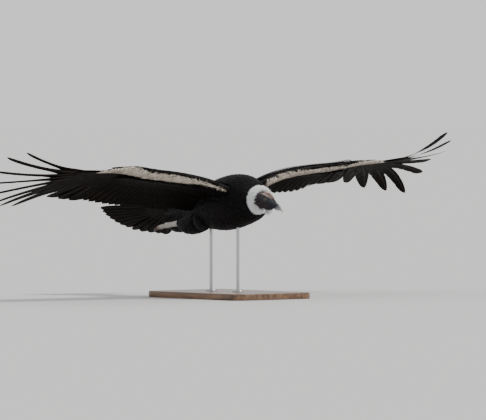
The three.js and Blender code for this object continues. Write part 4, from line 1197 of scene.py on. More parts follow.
def wing_surface(bend):
    """The core's surface as a chart: x outwards, y the way round from the nose, over the top where
    it is positive and underneath where it is negative, in steps close to millimetres."""
    w = NOSE_SHARES
    rise = NOSE_HEIGHT * 0.5 * CORE_PEAK * w * (1 - w**2) ** CORE_TAPER
    arc = np.concatenate([[0], np.cumsum(np.hypot(np.diff(w**2) * NOSE_REACH, np.diff(rise)))])

    def surface(x, y):
        lead, edge = curve(LEADING_EDGE, x), curve(CORE_EDGE, x)
        chord = edge - lead
        share = np.interp(np.abs(y) * NOSE_REACH / np.maximum(chord, NOSE_CHORD_LEAST), arc, w) ** 2
        high = np.where(y >= 0, core_height(x, share, 1), core_height(x, share, -1))
        return bend(x, lead + chord * share, high)

    return surface


def wing_coat(name):
    """Lesser and median coverts over the wing's core, above and below, in tiers from the back to
    the leading edge, with a painted highlight along the lower side of the nose."""
    wing = WING[name]
    chart = surface_chart(wing_surface(BENDS[name]))

    def carry(x, y, h):
        return chart(x, y, h * wing["sign"])

    batches = []
    draw = np.random.default_rng(41)
    for over, step in WING_COAT_ROWS:
        for back in np.arange(150, -2, -step):
            row = len(batches)
            size = float(curve(WING_COAT_SIZE, back))
            gap = size * 0.36
            last = float(np.interp(back, *WING_COAT_ENDS))
            count = int((last - WING_COAT_FROM) / gap)
            x = np.linspace(WING_COAT_FROM, last, count) + (row % 2) * gap * 0.5
            x = x + draw.normal(0, gap * 0.1, count)
            y = over * (back + 1.0) + draw.normal(0, 2.0, count)
            on_core = np.abs(y) < (curve(CORE_EDGE, x) - curve(LEADING_EDGE, x)) * 0.92
            x, y = x[on_core], y[on_core]
            if not len(x):
                continue
            # How much painted highlight each covert takes.
            pale = highlight_band(wing, x, y, draw)
            heading = over * np.pi / 2 - over * 0.10
            unwrap = (x / 1000, 0.25 + 0.24 * over * np.abs(y) / 170 + 0.25)
            root = np.stack([x, y], 1)
            half = size * 0.30
            batch = coat_batch(carry, root, heading, size, half, WING_COAT_LIFT, unwrap, 400 + row, pale)
            batches.append(batch)
    return feather_piece(f"wing_coverts_{name}", batches, COVERTS, "plumage")


def highlight_band(wing, x, y, draw):
    """How much painted highlight a covert takes: a band along the lower side of the nose, wider and mottled
    on the hand.
    """
    low = -curve(wing["band_low"], x)
    high = curve(wing["band_high"], x)
    wide = smooth(-6, 6, y - low) * (1 - smooth(-14, 6, y - high))
    return wide * smooth(110, 150, x) * draw.uniform(0.75, 1.1, len(x))


def median_tier(bend, number, white):
    """Tier number of MEDIAN_TIERS. white says how white it is by distance out."""
    count, first, last, heights, widths, seed = MEDIAN_TIERS[number]
    x = np.linspace(*MEDIAN_SPAN, count)
    band = (0.01 + 0.16 * number, 0.15 + 0.16 * number)
    return covert_tier(bend, x, first, last, heights, rows=12, widths=widths, tip=0.76, slope=0.05,
                       pale=white(x), seed=seed, band=band)


def alula(bend):
    """Three small stiff feathers on the leading edge of the hand."""
    angle = np.radians(ALULA_ANGLE)[:, None]
    length = np.array(ALULA_LENGTH)[:, None]
    t = np.linspace(0, 1, 14)[None]
    way = np.stack([np.cos(angle) * length * t, np.sin(angle) * length * t], -1)
    line = np.array(ALULA_ROOT)[:, None] + way
    low, climb = [np.array(heights)[:, None] for heights in ALULA_HEIGHT]
    return flight_batch(bend, line, low + climb * t, widths=(10.0, 12.0), tip=0.7, columns=COVERT_COLUMNS,
                        slope=0.0, pale=0.4, seed=59, band=(0.70, 0.80))


def wing_middle_coverts(name):
    """Median coverts that bridge from the core to the flight feathers, above and below, and the
    alula on the leading edge of the hand; the frontmost row below is the wing's lining."""
    wing, bend = WING[name], BENDS[name]

    def lining_highlight(x):
        """Painted highlight on this wing's lining near the body."""
        return wing["lining"] * smooth(*LINING_FROM, x) * smooth(*LINING_TO, x)

    lining = [median_tier(bend, LINING_TIER, lining_highlight)]
    batches = []
    for number, most in enumerate(MEDIAN_WHITE):
        batches.append(median_tier(bend, number, lambda x: most * smooth(*MEDIAN_WHITE_FROM, x)))
    batches.append(alula(bend))
    feather_piece(f"wing_lining_{name}", lining, COVERTS, "flight_feathers")
    feather_piece(f"wing_median_{name}", batches, FLIGHT, "flight_feathers")


# Tail. Its coverts' strips on the map start at these heights, above and below.
TAIL_COVERTS = ((1, (0.62, 0.68, 0.74)), (-1, (0.80, 0.86, 0.92)))
TAIL_COVERT_BAND = 0.05
TAIL_HALVES = (22.0, 31.0)
TAIL_ROWS, TAIL_COVERT_ROWS = 36, 14


def on_tail(x, y, h):
    """The flat fan, drooped and rolled about the body's line."""
    return np.stack([x, y, h], -1) @ TAIL_TURN.T + TAIL["at"]


def tail_line(share, first, last, rows):
    """Straight lines of the fan from first to last, by share of the way from its middle."""
    angle = np.radians(TAIL["fan"] * share)[:, None]
    reach = first + (last[:, None] - first) * np.linspace(0, 1, rows)[None]
    return np.stack([TAIL["root"] * share[:, None] + np.sin(angle) * reach, np.cos(angle) * reach], -1)


def tail_half(share, widths, seed, band):
    """The six long feathers of one half of the fan, the central one on top."""
    length = TAIL["length"] * (1 - 0.05 * share**2 - 0.1 * smooth(0.2, 0.9, share))
    line = tail_line(share, 0.0, length, TAIL_ROWS)
    central = np.abs(share) < 1.5 / (TAIL["feathers"] - 1)
    lift = np.where(central & (share > 0), 1.9, 0.0)[:, None]
    slope = np.where(central, 0.02, 0.13) * np.sign(share)
    return flight_batch(on_tail, line, lift, widths, tip=0.88, columns=FLIGHT_COLUMNS, slope=slope,
                        pale=0.0, seed=seed, band=band)


def tail_covert_tier(over, tier, band):
    """One tier of short feathers on the fan's root, above or below."""
    count = 9 - tier
    share = np.linspace(-0.92, 0.92, count) * (1 - 0.12 * tier)
    last = np.full(count, 186.0 - 50 * tier) * (1 - 0.2 * share**2)
    line = tail_line(share, 4.0 - 6 * tier, last, TAIL_COVERT_ROWS)
    t = np.linspace(0, 1, TAIL_COVERT_ROWS)[None]
    lift = over * (6.4 + 2.6 * tier) * settled(t, 0.55)
    return flight_batch(on_tail, line, lift, widths=(17.0, 17.0), tip=0.7, columns=COVERT_COLUMNS,
                        slope=0.03 * (share + 0.01), pale=0.0, seed=70 + 10 * over + tier,
                        band=(band, band + TAIL_COVERT_BAND))


def tail_feathers():
    """Twelve rectrices in a fan, the central pair on top, and coverts above and below."""
    share = np.linspace(-1, 1, TAIL["feathers"])
    batches = [
        tail_half(share[share > 0], TAIL_HALVES, 61, (0.01, 0.3)),
        tail_half(share[share < 0], TAIL_HALVES[::-1], 63, (0.32, 0.6)),
    ]
    for over, bands in TAIL_COVERTS:
        batches += [tail_covert_tier(over, tier, band) for tier, band in enumerate(bands)]
    return feather_piece("tail_feathers", batches, FLIGHT, "flight_feathers", "tail")


# Ruff. A row of RUFF_ROWS is its place along the neck, the angle at which its locks leave the neck,
# how far they curl, their length and their number.
RUFF_AT = np.array([0, -127, -66.0])
RUFF_LEAN = 4
RUFF_RADIUS = 50
RUFF_OPENING = 22
RUFF_GAP = 13
RUFF_ROWS = (
    (-12, -56, 38, 19, 420), (-9, -40, 34, 24, 480), (-5, -24, 30, 28, 520), (-1, -8, 26, 30, 540),
    (3, 8, 24, 31, 540), (7, 22, 26, 31, 520), (11, 36, 28, 29, 480), (14, 52, 26, 23, 420),
)
RUFF_REAR_ROWS = 4
RUFF_CHART = 60
LOCK_SHAPE = [[0, 0.7], [0.3, 1], [0.6, 0.8], [0.85, 0.45], [1, 0.1]]
LOCK_ROWS, LOCK_COLUMNS = 6, 4
LOCK_THICK = 0.55
LOCK_HALF = (1.5, 2.9)
LOCK_ARCH = 0.25


def ruff_place(angle, radius, y):
    """A point of the ruff: angle round it from its opening, distance from its axis, place along it."""
    a = angle + np.radians(RUFF_OPENING)
    flat = np.stack([radius * np.sin(a), y, -radius * np.cos(a)], -1)
    return flat @ turn(0, RUFF_LEAN).T + RUFF_AT


def ruff_row(draw, number, y0, sweep, curl, length, count):
    """One row of locks: each walks out from the neck along a heading that bends by its curl, and
    drifts a little sideways; it is longest at the top and at the opening's far side."""
    edge = np.radians(RUFF_GAP)
    angle = edge + (TAU - 2 * edge) * (np.arange(count) + draw.uniform(0.1, 0.9, count)) / count
    full = 0.82 + 0.18 * smooth(0.2, 0.7, np.minimum(angle - edge, TAU - edge - angle))
    far_end = 1 + 1.2 * bump(angle, edge, 0.42)
    size = (length * full * far_end * draw.uniform(0.86, 1.12, count))[:, None]
    start = np.radians(sweep + draw.normal(0, 9, count))[:, None]
    bow = np.radians(curl + draw.normal(0, 12, count))[:, None]
    t = np.linspace(0, 1, LOCK_ROWS)[None]
    mid = (t[:, 1:] + t[:, :-1]) / 2
    out, along = walk(start + bow * mid, size / (LOCK_ROWS - 1))
    drift = draw.normal(0, 0.05, count)[:, None] * t + draw.normal(0, 0.02, count)[:, None] * np.sin(TAU * t)
    radius = RUFF_RADIUS - 6 + draw.normal(0, 1.5, count)[:, None] + out
    y = y0 + draw.normal(0, 2, count)[:, None] + along
    line = np.stack([(angle[:, None] + drift) * RUFF_CHART, size * t], -1)
    turned = start + bow * t

    def carry(px, py, h):
        r = radius[..., None] - h * np.sin(turned)[..., None]
        return ruff_place(px / RUFF_CHART, r, y[..., None] + h * np.cos(turned)[..., None])

    wide = curve(LOCK_SHAPE, t) * draw.uniform(*LOCK_HALF, count)[:, None]
    thick = np.full((count, LOCK_ROWS), LOCK_THICK) * (1 - 0.6 * t)
    fields = {"shade": draw.uniform(0, 1, count), "pale": np.ones(count)}
    patches = patches_at(angle / TAU, np.full(count, 0.1 + 0.12 * number) + draw.uniform(0, 0.1, count))
    slope = draw.normal(0, 0.12, count)
    flat = np.zeros((count, LOCK_ROWS))
    return vanes(carry, line, flat, wide, wide, thick, LOCK_COLUMNS, slope, LOCK_ARCH, patches, fields)


def ruff():
    """White down: a collar of short soft locks that leave the neck, bend back or forward by their
    row, taper and curl, closest and fullest at the top and open under the throat."""
    draw = np.random.default_rng(81)
    batches = [ruff_row(draw, k, *row) for k, row in enumerate(RUFF_ROWS)]
    feather_piece("ruff_down", batches[:RUFF_REAR_ROWS], DOWN, "ruff_down", "ruff")
    feather_piece("ruff_down_front", batches[RUFF_REAR_ROWS:], DOWN, "ruff_down")


# Head: worked out in its own frame, forward -Y, up Z, the origin midway between the eyes. A row
# of SKULL is the distance back, the half width, the top and the bottom, of COMB the distance back,
# the half thickness and the top, of a bill half its place, centre, half width and half height.
HEAD_AT = np.array([-2, -176, -66.0])
HEAD_TURN = turn(2, 38) @ turn(0, 32.5)
SKULL = [
    [-60, 12, 7.5, -22.5], [-54, 13.5, 9, -26], [-42, 16.5, 11, -29.5], [-28, 21, 14, -33.5],
    [-12, 26, 17.5, -37.5], [4, 29, 19.5, -40.5], [20, 30.5, 20.5, -42], [36, 29, 18, -41],
    [50, 23, 12, -35], [58, 13, 2, -24],
]
COMB = [
    [-74, 3, 5.5], [-66, 4.6, 10.5], [-52, 5.6, 16.5], [-36, 6.2, 25], [-20, 6.6, 33], [-4, 6.8, 37.5],
    [10, 6.6, 35], [22, 5.6, 27.5], [30, 3.5, 19],
]
COMB_SINK = 12
UPPER_BILL = [
    [-56, -2.6, 11.6, 11.2], [-66, -3.4, 11.7, 10.6], [-77, -5, 10.8, 10], [-88, -8, 9.2, 8.6],
    [-97, -13.4, 6.8, 7], [-102.5, -19.6, 4.2, 5], [-105, -26, 1.4, 2],
]
LOWER_BILL = [[-50, -20, 10.4, 5.4], [-66, -20.4, 9.8, 5], [-78, -20.4, 7.8, 4.2], [-89, -20, 3.6, 2.2]]
BILL_GRID = (90, 64)
UPPER_PINCH = 0.25
NOSTRIL = {"y": -66, "z": 0.5, "half_length": 6.2, "half_height": 2.3, "slant": 0.14, "depth": 3.4}
EYE_RADIUS = 8.5
EYE_SIDE = 22.5
EYE_WIDE, EYE_HIGH = 1.12, 0.92
# Soft parts, each an ellipsoid's centre, half sizes and tilt. Those off the middle come in pairs.
WATTLES = [
    ((0, -22, -37), (7, 22, 10), -8), ((13, 4, -38), (8, 26, 9), -14), ((22, 28, -36), (8, 20, 8), -30),
    ((24, 40, -22), (8, 15, 7), -55), ((6, -38, -31), (4, 13, 5), 4), ((19, -8, -31), (6, 18, 6), -12),
    ((12, 26, -43), (6, 18, 6), -16), ((27, 14, -27), (5, 13, 5), -35),
]
BROW = ((EYE_SIDE - 1, -1, 10.8), (5.5, 17, 3.6), 6)
EAR_PAD = ((30.2, 30, -14), (3, 12, 10.5), 0)
CERE = ((0, -58, -4), (13.2, 7, 13), 0)
EAR_AT = (30, -14)
LID_RINGS = ((8.8, 1.7, 3.9), (11.4, 1.3, 1.8))
LID_GRID = (40, 12)
SKULL_GRID, COMB_GRID, NECK_GRID = (60, 48), (70, 32), (40, 48)
HEAD_VOXEL, HEAD_SOFTEN = 1.25, 3
NECK_SINK = -2
MOUTH = {"z": -14.6, "slope": 0.05, "from": -44}


def on_head(points):
    """Points of the head's own frame, carried into the bird's."""
    return np.asarray(points) @ HEAD_TURN.T + HEAD_AT


def off_head(points):
    """Points of the bird's frame, carried into the head's."""
    return (np.asarray(points) - HEAD_AT) @ HEAD_TURN


def ball(centre, size, tilt=0, rows=20, sides=28):
    """An ellipsoid, its long axis Y, tipped about X: rings from pole to pole."""
    v, a = np.meshgrid(np.linspace(0.04, np.pi - 0.04, rows), np.arange(sides) * TAU / sides, indexing="ij")
    round_form = np.stack([np.sin(v) * np.cos(a), -np.cos(v), np.sin(v) * np.sin(a)], -1) * np.array(size)
    return loft(round_form @ turn(0, tilt).T + np.array(centre))


def skull_form():
    """Ovals whose half width, top and bottom follow the SKULL table, closed to a point at the back."""
    rows, sides = SKULL_GRID
    y = np.linspace(SKULL[0][0], SKULL[-1][0], rows)[:, None]
    a = (np.arange(sides) * TAU / sides)[None]
    half, top, bottom = [curve(SKULL, y, c) for c in (1, 2, 3)]
    z = (top + bottom) / 2 + (top - bottom) / 2 * np.sin(a)
    return loft(np.stack([half * np.cos(a), y + 0 * a, z], -1))


def comb_form():
    """A ridge of flesh: upright rounded sections whose top and thickness follow the COMB table."""
    rows, sides = COMB_GRID
    y = np.linspace(COMB[0][0], COMB[-1][0], rows)[:, None]
    a = (np.arange(sides) * TAU / sides)[None]
    half, top = [curve(COMB, y, c) for c in (1, 2)]
    crown = curve(SKULL, y, 2) - COMB_SINK
    squeeze = 1 - 0.35 * bump(np.sin(a), -0.1, 0.5)
    z = (top + crown) / 2 + (top - crown) / 2 * np.sign(np.sin(a)) * np.abs(np.sin(a)) ** 0.8
    return loft(np.stack([half * squeeze * np.cos(a), y + 0 * a, z], -1))


def eyelids(side):
    """Two soft rings round the eye, wider than high."""
    ways, turns = LID_GRID
    a, b = np.meshgrid(np.arange(ways) * TAU / ways, np.arange(turns) * TAU / turns, indexing="ij")
    i, j = [v.ravel() for v in np.meshgrid(np.arange(ways), np.arange(turns), indexing="ij")]
    here, ahead = i * turns, (i + 1) % ways * turns
    quad = np.stack([here + j, ahead + j, ahead + (j + 1) % turns, here + (j + 1) % turns], 1)
    parts = []
    for ring, thick, out in LID_RINGS:
        r = ring + thick * np.cos(b)
        x = side * (EYE_SIDE + out + thick * np.sin(b))
        flat = np.stack([x, EYE_WIDE * r * np.cos(a), EYE_HIGH * r * np.sin(a)], -1).reshape(-1, 3)
        parts.append((flat, outward(flat, [quad])))
    return parts


def ridges(value, pitch, sharp=1.0):
    """Rounded ridges with narrow grooves between them, from 0 to 1."""
    return (0.5 + 0.5 * np.cos(TAU * value / pitch)) ** sharp


def ripple(p, scale, seed):
    """A soft random field: a sum of sines along random directions."""
    draw = np.random.default_rng(seed)
    total = np.zeros(len(p))
    for _ in range(10):
        way = draw.normal(size=3)
        way /= np.linalg.norm(way)
        total += np.sin(p @ way / scale * draw.uniform(0.6, 1.6) + draw.uniform(0, TAU))
    return total / 4


def head_blank():
    """One skin over skull, comb, wattles, brows, lids and neck: its points and faces."""
    parts = [skull_form(), comb_form()]
    for at, size, tilt in WATTLES:
        for side in ((1, -1) if at[0] else (1,)):
            parts.append(ball((side * at[0], at[1], at[2]), size, tilt))
    for side in (1, -1):
        for (x, y, z), size, tilt in (BROW, EAR_PAD):
            parts.append(ball((side * x, y, z), size, tilt))
        parts += eyelids(side)
    parts.append(ball(*CERE))
    parts = [(on_head(p), f) for p, f in parts]
    parts.append(tube(NECK, *NECK_GRID, NECK_SINK))
    return fused("head_blank", parts, HEAD_VOXEL, HEAD_SOFTEN)


def head_zones(q):
    """Where the head's parts lie, each from 0 to 1 by place in the head's own frame, and the
    distances from the eye and the ear."""
    x, y, z = q.T
    side = np.abs(x)
    zone = {"side": side, "y": y, "z": z}
    zone["eye_far"] = np.hypot(y / EYE_WIDE, z / EYE_HIGH)
    zone["ear_far"] = np.hypot(y - EAR_AT[0], (z - EAR_AT[1]) * 1.1)
    zone["back"] = smooth(36, 62, y) + smooth(-24, -52, z) * smooth(10, 30, y)
    zone["neck"] = smooth(40, 62, y)
    zone["comb"] = smooth(1.5, 5, z - curve(SKULL, y, 2)) * smooth(12, 8, side) * (1 - smooth(26, 34, y))
    zone["comb_rear"] = smooth(-40, -24, y)
    zone["by_eye"] = smooth(15, 10, zone["eye_far"]) * smooth(14, 20, side)
    zone["eye_hole"] = smooth(8.3, 6.9, zone["eye_far"]) * smooth(14, 20, side)
    zone["flank"] = smooth(10, 20, side) * (1 - zone["comb"]) * (1 - zone["by_eye"])
    zone["cheek"] = zone["flank"] * smooth(-52, -30, y) * (1 - zone["neck"])
    zone["low"] = smooth(-18, -32, z) * (1 - zone["comb"])
    mouth_line = MOUTH["z"] + MOUTH["slope"] * (y - MOUTH["from"])
    zone["mouth"] = bump(z, mouth_line, 1.3) * smooth(-12, -22, y) * smooth(8, 12, side)
    return zone


def fold_depth(points, q, zone):
    """How far each point of the head moves out: ridges round the ear on the cheek, along the
    throat, round the neck and up the comb, each waved by a soft random field, fine wrinkles all
    over, and a sunk ear and mouth line."""
    soft = ripple(q, 6.0, 5)
    fine = ripple(q, 2.6, 6)
    y, z, ear_far = zone["y"], zone["z"], zone["ear_far"]
    depth = zone["cheek"] * smooth(11, 15, ear_far) * 1.1 * (ridges(ear_far + 2.2 * soft, 6.4) - 0.5)
    throat = ridges(z * 0.85 + y * 0.30 + 2.0 * soft, 5.6)
    depth += zone["low"] * (1 - zone["neck"]) * 1.3 * (throat - 0.5)
    travel = points[:, 1] * 0.86 + points[:, 0] * 0.3
    depth += zone["neck"] * 1.8 * (ridges(travel + 2.6 * soft, 7.5, 0.8) - 0.5)
    depth += zone["comb"] * 0.5 * (ridges(y + 1.6 * soft, 5.2, 1.4) - 0.5) + zone["comb"] * 0.35 * fine
    depth += 0.22 * fine * (1 - zone["by_eye"])
    depth -= 3.6 * bump(ear_far, 0, 6.5) * smooth(18, 26, zone["side"])
    return depth - 2.2 * zone["mouth"]


def head_fields(zone, depth):
    """The fields of the head's skin from its zones and its folds."""
    y, z, side = zone["y"], zone["z"], zone["side"]
    eye_far, ear_far, rear = zone["eye_far"], zone["ear_far"], zone["comb_rear"]
    # The comb's rim, where its top edge takes a painted highlight, and a faint ring round each eye.
    rim = (1 - 0.6 * rear) * smooth(12, 8, side) * smooth(34, 26, y)
    rim = rim * smooth(-8.5 + 4 * rear, -5 + 3 * rear, z - curve(COMB, y, 2))
    # The ear's share of the painted shade.
    ear = 0.8 * bump(ear_far, 0, 6) * smooth(18, 26, side)
    low_cheek = zone["cheek"] * smooth(-12, -24, z)
    return {
        "comb": zone["comb"] * (1 - 0.85 * rear),
        "rim": rim + 0.12 * zone["by_eye"] * bump(eye_far, 8.8, 1.4),
        "crown": smooth(13, 19, z) * rear + 0.35 * zone["back"] * smooth(0, 12, z),
        "folds": np.clip(zone["low"] + low_cheek + bump(ear_far, 14, 8) * zone["flank"], 0, 1),
        "neck": zone["neck"],
        # hollow is painted shade: darker in the grooves of the folds, the mouth line, the ear and round the
        # eye.
        "hollow": np.clip(np.clip(-depth / 1.2, 0, 1) + zone["mouth"] + ear + zone["eye_hole"], 0, 1),
    }


def head():
    """The head's skin with its folds: each point moves out along its normal by fold_depth, and
    inwards where the eye sits. Fields say what each part of the skin is."""
    points, faces = head_blank()
    q = off_head(points)
    zone = head_zones(q)
    depth = fold_depth(points, q, zone)
    q = off_head(points + normals_of(points, faces) * depth[:, None])
    q[:, 0] -= np.sign(q[:, 0]) * zone["eye_hole"] * 9.0
    piece = mesh_object("head_skin", place(on_head(q)), faces, None, head_fields(zone, depth))
    return finished(piece, HEAD_SKIN, "head_skin", "head", "neck")


def horn_form(table, rows, sides, pinch):
    """A bill half: ovals, pinched to a low ridge on top, whose centre, width and height follow the
    table."""
    share = np.linspace(0, 1, rows) ** 0.9
    rows_of = np.asarray(table)
    knots = np.linspace(0, 1, len(rows_of))
    y, centre, half, high = [curve(np.stack([knots, rows_of[:, c]], 1), share)[:, None] for c in range(4)]
    a = (np.arange(sides) * TAU / sides)[None]
    ridge = 1 - pinch * bump(np.sin(a), 1.0, 0.35)
    return np.stack([half * ridge * np.cos(a), y + 0 * a, centre + high * np.sin(a)], -1)


def way_ahead(points, table):
    """How far along the bill a point is, 0 at its base to 1 at its tip."""
    first, last = table[0][0], table[-1][0]
    return np.clip((points[:, 1] - first) / (last - first), 0, 1)


def upper_bill():
    """The hooked upper bill with a slit nostril pressed into its base, painted shade inside it, and a
    painted highlight along the crest on top.
    """
    points, faces = loft(horn_form(UPPER_BILL, *BILL_GRID, UPPER_PINCH))
    behind = points[:, 1] - NOSTRIL["y"]
    above = points[:, 2] - NOSTRIL["z"] - NOSTRIL["slant"] * behind
    slit = np.hypot(behind / NOSTRIL["half_length"], above / NOSTRIL["half_height"])
    # The nostril's dent; its colour through the field hollow is painted shade.
    hole = smooth(1.25, 0.7, slit) * smooth(4, 8, np.abs(points[:, 0]))
    rows, sides = BILL_GRID
    # Painted highlight along the bill's crest, carried in the field ahead.
    crest_highlight = np.tile(smooth(0.8, 0.98, np.sin(np.arange(sides) * TAU / sides)), rows)
    ahead = way_ahead(points, UPPER_BILL) + 0.5 * np.concatenate([crest_highlight, [0, 0]])
    points[:, 0] -= np.sign(points[:, 0]) * hole * NOSTRIL["depth"]
    return points, faces, {"ahead": ahead, "hollow": hole}


def lower_bill():
    """The lower bill, its tip curved up a little."""
    points, faces = loft(horn_form(LOWER_BILL, *BILL_GRID, 0.0))
    ahead = way_ahead(points, LOWER_BILL)
    points[:, 2] += 1.2 * smooth(0.2, 1.0, ahead)
    return points, faces, {"ahead": ahead, "hollow": np.zeros(len(points))}


def bill():
    """Both halves of the bill."""
    for name, form in (("bill_upper", upper_bill), ("bill_lower", lower_bill)):
        points, faces, fields = form()
        piece = mesh_object(name + "_horn", place(on_head(points)), faces, None, fields)
        finished(piece, HORN, "bill_horn", name)


def eyes():
    """Each eye a ball, a little flatter in front, looking out to its side."""
    for name, side in (("left", 1), ("right", -1)):
        v, a = np.meshgrid(np.linspace(0.01, np.pi - 0.01, 40), np.arange(48) * TAU / 48, indexing="ij")
        ring = np.stack([side * np.cos(v), np.sin(v) * np.cos(a), np.sin(v) * np.sin(a)], -1) * EYE_RADIUS
        ring[..., 0] += side * (EYE_SIDE + 0.35 * bump(v, 0, 0.5))
        points, faces = loft(ring)
        gaze = np.concatenate([v.ravel(), [0.0, np.pi]])
        piece = mesh_object(f"eyeball_{name}", place(on_head(points)), faces, None, {"gaze": gaze})
        finished(piece, EYE, "eye", f"eye_{name}")


# Feet. A row of TOES is its angle from straight back, length, radius and how far its end drops.
TOES = [(-17, 78, 9.6, 16), (0, 104, 10.4, 20), (17, 82, 9.6, 16)]
HIND_TOE = (-37, 32, 7, -14)
SHANK_GRID = (50, 28)
TOE_GRID = (70, 24)
CLAW_GRID = (20, 16)


def toe_and_claw(end, way, length, thick, drop):
    """A toe with knuckles along it and low ridges over it, and its blunt hooked claw. Returns the
    toe's part, its share along by point, and the claw's part."""
    root = end + [0, -6, 0]
    middle = end + way * length * 0.5 + [0, 0, -drop * 0.18]
    tip = end + way * length * 0.86 + [0, 0, -drop * 0.72]
    point = tube_along([(*root, thick), (*middle, thick * 0.9), (*tip, thick * 0.62)])
    rows, sides = TOE_GRID
    t, a = np.meshgrid(np.linspace(0, 1, rows), np.arange(sides) * TAU / sides, indexing="ij")
    plain = point(t, a)
    centre = plain.mean(1, keepdims=True)
    knuckle = 1 + 0.10 * np.cos(TAU * 3 * t) + 0.05 * ridges(t * length, 4.0) * (np.sin(a) > 0)
    toe = loft(centre + (plain - centre) * knuckle[..., None])
    claw_end = end + way * length + [0, 0, -drop - 1]
    claw_middle = (tip + claw_end) / 2 + [0, 0, 1.5]
    claw_rows = [(*(tip - way * 5), thick * 0.52), (*claw_middle, thick * 0.4), (*claw_end, 0.8)]
    return toe, np.concatenate([t.ravel(), [0, 1]]), tube(claw_rows, *CLAW_GRID)


def foot(name):
    """A shank, three front toes with knuckles and pads, a short hind toe, and blunt claws."""
    side = 1 if name == "left" else -1
    lift = LEG_LIFT[name]
    ax, ay, az, _ = LEG_POINTS["ankle"]
    fx, fy, fz, fr = LEG_POINTS["shank"]
    ankle = np.array([side * ax, ay, az + lift], float)
    end = np.array([side * fx, fy, fz + lift], float)
    shank = [(*ankle, fr + 6), (*((ankle + end) / 2), fr + 3.2), (*end, fr + 4.5)]
    parts, claws = [tube(shank, *SHANK_GRID)], []
    toe_fields = [np.zeros(len(parts[0][0]))]
    hind_angle, *hind = HIND_TOE
    for angle, length, thick, drop in TOES + [(side * hind_angle, *hind)]:
        turned = np.radians(angle)
        way = np.array([np.sin(turned), np.cos(turned), 0])
        toe, share, claw = toe_and_claw(end, way, length, thick, drop)
        parts.append(toe)
        toe_fields.append(share)
        claws.append(claw)
    points, faces = joined(parts)
    piece = mesh_object(f"foot_skin_{name}", place(points), faces, None, {"toe": np.concatenate(toe_fields)})
    finished(piece, SCALES, "foot_scales", f"foot_{name}")
    points, faces = joined(claws)
    finished(mesh_object(f"claws_{name}", place(points), faces), CLAW, "foot_scales")


# Stand, in millimetres of the scene's own frame.
BASE = {"length": 740, "width": 500, "thick": 32, "corner": 60, "edge": 4, "flat": 6, "chamfer": 1.2}
ROD = {"radius": 8, "plate": 28, "plate_thick": 7, "y": (40, 250), "gap": 0.35}
AXIS = 0.1
LATHE_SIDES = 72


def rounded_plate(grow, sides=24):
    """Outline of a rectangle with round corners, moved out by grow."""
    w, l, r = BASE["width"] / 2 + grow, BASE["length"] / 2 + grow, BASE["corner"] + grow
    a = np.linspace(0, np.pi / 2, sides)
    corners = []
    for k, (sx, sy) in enumerate(((1, 1), (-1, 1), (-1, -1), (1, -1))):
        b = a + k * np.pi / 2
        corners.append(np.stack([sx * (w - r) + r * np.cos(b), sy * (l - r) + r * np.sin(b)], 1))
    return np.concatenate(corners)


def base_plate():
    """The walnut base: its outline drawn in and out by a profile with a rounded upper edge."""
    edge, thick, chamfer = BASE["edge"], BASE["thick"], BASE["chamfer"]
    profile = [(-edge, 0), (-chamfer, chamfer), (0, edge)]
    for b in np.linspace(0, np.pi / 2, 8):
        profile.append((-edge + edge * np.cos(b), thick - edge + edge * np.sin(b)))
    profile.append((-edge - BASE["flat"], thick))
    rings = []
    for grow, z in profile:
        outline = rounded_plate(grow)
        rings.append(np.concatenate([outline, np.full((len(outline), 1), float(z))], 1))
    points, faces = loft(np.array(rings))
    finished(mesh_object("base_plate", points * MM, faces), WOOD, "base_wood", "stand_base")


def stand():
    """The base, and steel rods on turned plates up to the belly."""
    base_plate()
    plate, r = ROD["plate"], ROD["radius"]
    foot_z = BASE["thick"] + ROD["gap"]
    top = foot_z + ROD["plate_thick"]
    plate_profile = [
        (AXIS, foot_z), (plate - 0.6, foot_z), (plate, foot_z + 0.6), (plate, foot_z + 4.2),
        (plate - 0.8, foot_z + 5.4), (13, top), (AXIS, top),
    ]
    for name, y in zip(("front", "rear"), ROD["y"]):
        lathe(f"rod_plate_{name}", plate_profile, y, f"stand_plate_{name}")
        low, high = [corner[2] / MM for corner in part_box(f"stand_rod_{name}")]
        rod_profile = [
            (AXIS, low), (r - 0.5, low), (r, low + 0.5), (r, high - 2), (r - 1, high), (AXIS, high),
        ]
        lathe(f"rod_{name}", rod_profile, y, f"stand_rod_{name}")


def lathe(name, profile, y, node_name):
    """A profile of radius and height turned round an upright axis behind the origin by y."""
    profile = np.array(profile, float)
    a = np.arange(LATHE_SIDES) * TAU / LATHE_SIDES
    r, z = profile[:, :1], profile[:, 1:]
    rings = np.stack([r * np.cos(a), r * np.sin(a) + y + BIRD_AT[1], z + 0 * a], -1)
    points, faces = loft(rings)
    piece = mesh_object(name, points * MM, faces)
    piece.data.polygons.foreach_set("use_smooth", np.zeros(len(piece.data.polygons), bool))
    finished(piece, STEEL, "stand_steel", node_name)


# Coats of the vent and the thighs: length, usual radius, feathers in a row, half width, seed.
VENT_COAT = (220.0, 46.0, 20, 14.0, 340)
THIGH_COAT = (210.0, 40.0, 16, 13.0, 300)

body_skin()
torso_coat()
tube_coat("vent_feathers", VENT, *VENT_COAT)
for wing_name in WING:
    tube_coat(f"thigh_feathers_{wing_name}", thigh_rows(wing_name), *THIGH_COAT)
    wing_flight(wing_name)
    wing_middle_coverts(wing_name)
    wing_coat(wing_name)
    foot(wing_name)
tail_feathers()
ruff()
head()
bill()
eyes()
stand()

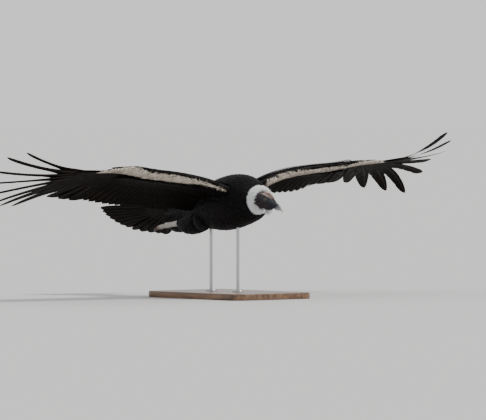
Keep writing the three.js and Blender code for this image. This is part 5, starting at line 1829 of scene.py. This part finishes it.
# Studio: a wide pale floor that meets the background without a line, a soft key and a soft sky.
FLOOR_HALF = 600.0
FLOOR_COLOUR = 0.618
SKY = (0.92, 0.92, 0.92 * 1.01, 1)
KEY = {"strength": 2.4, "angle": 12, "heading": 45, "height": 48, "colour": (1.0, 0.97, 0.93)}


def studio():
    """The floor, the sky's even light and one soft key light."""
    corners = np.array([(-1, -1, 0), (1, -1, 0), (1, 1, 0), (-1, 1, 0)], float)
    floor = mesh_object("floor", corners * FLOOR_HALF, [np.array([[0, 1, 2, 3]])])
    colour = (FLOOR_COLOUR, FLOOR_COLOUR, FLOOR_COLOUR, 1)
    paint = finish("floor_paint", Base_Color=colour, Roughness=0.95, Specular_IOR_Level=0.0)
    floor.data.materials.append(paint)
    world = bpy.data.worlds.new("studio_sky")
    world.use_nodes = True
    world.node_tree.nodes["Background"].inputs[0].default_value = SKY
    bpy.context.scene.world = world
    light = bpy.data.lights.new("key", "SUN")
    light.energy = KEY["strength"]
    light.angle = np.radians(KEY["angle"])
    light.color = KEY["colour"]
    lamp = bpy.data.objects.new("key", light)
    lamp.rotation_euler = (np.radians(90 - KEY["height"]), 0, np.radians(KEY["heading"]))
    bpy.context.scene.collection.objects.link(lamp)


VIEW_AZIMUTH = -40
VIEW_ELEVATION = 1
VIEW_DISTANCE = 25.0
VIEW_AIM = (0, -0.110, 0.4425)
VIEW_LENS = 370.4
SENSOR = 36
FAR_LIMIT = 2000


def camera():
    """A camera far away with a long lens, aimed at the bird from its right front."""
    a, e = np.radians(VIEW_AZIMUTH), np.radians(VIEW_ELEVATION)
    back = np.array([np.sin(a) * np.cos(e), -np.cos(a) * np.cos(e), np.sin(e)])
    data = bpy.data.cameras.new("camera")
    data.lens = VIEW_LENS
    data.sensor_width = SENSOR
    data.clip_end = FAR_LIMIT
    made = bpy.data.objects.new("camera", data)
    made.location = np.array(VIEW_AIM) + VIEW_DISTANCE * back
    made.rotation_euler = (np.radians(90 - VIEW_ELEVATION), 0, a)
    bpy.context.scene.collection.objects.link(made)
    bpy.context.scene.camera = made


studio()
camera()

bpy.context.view_layer.update()
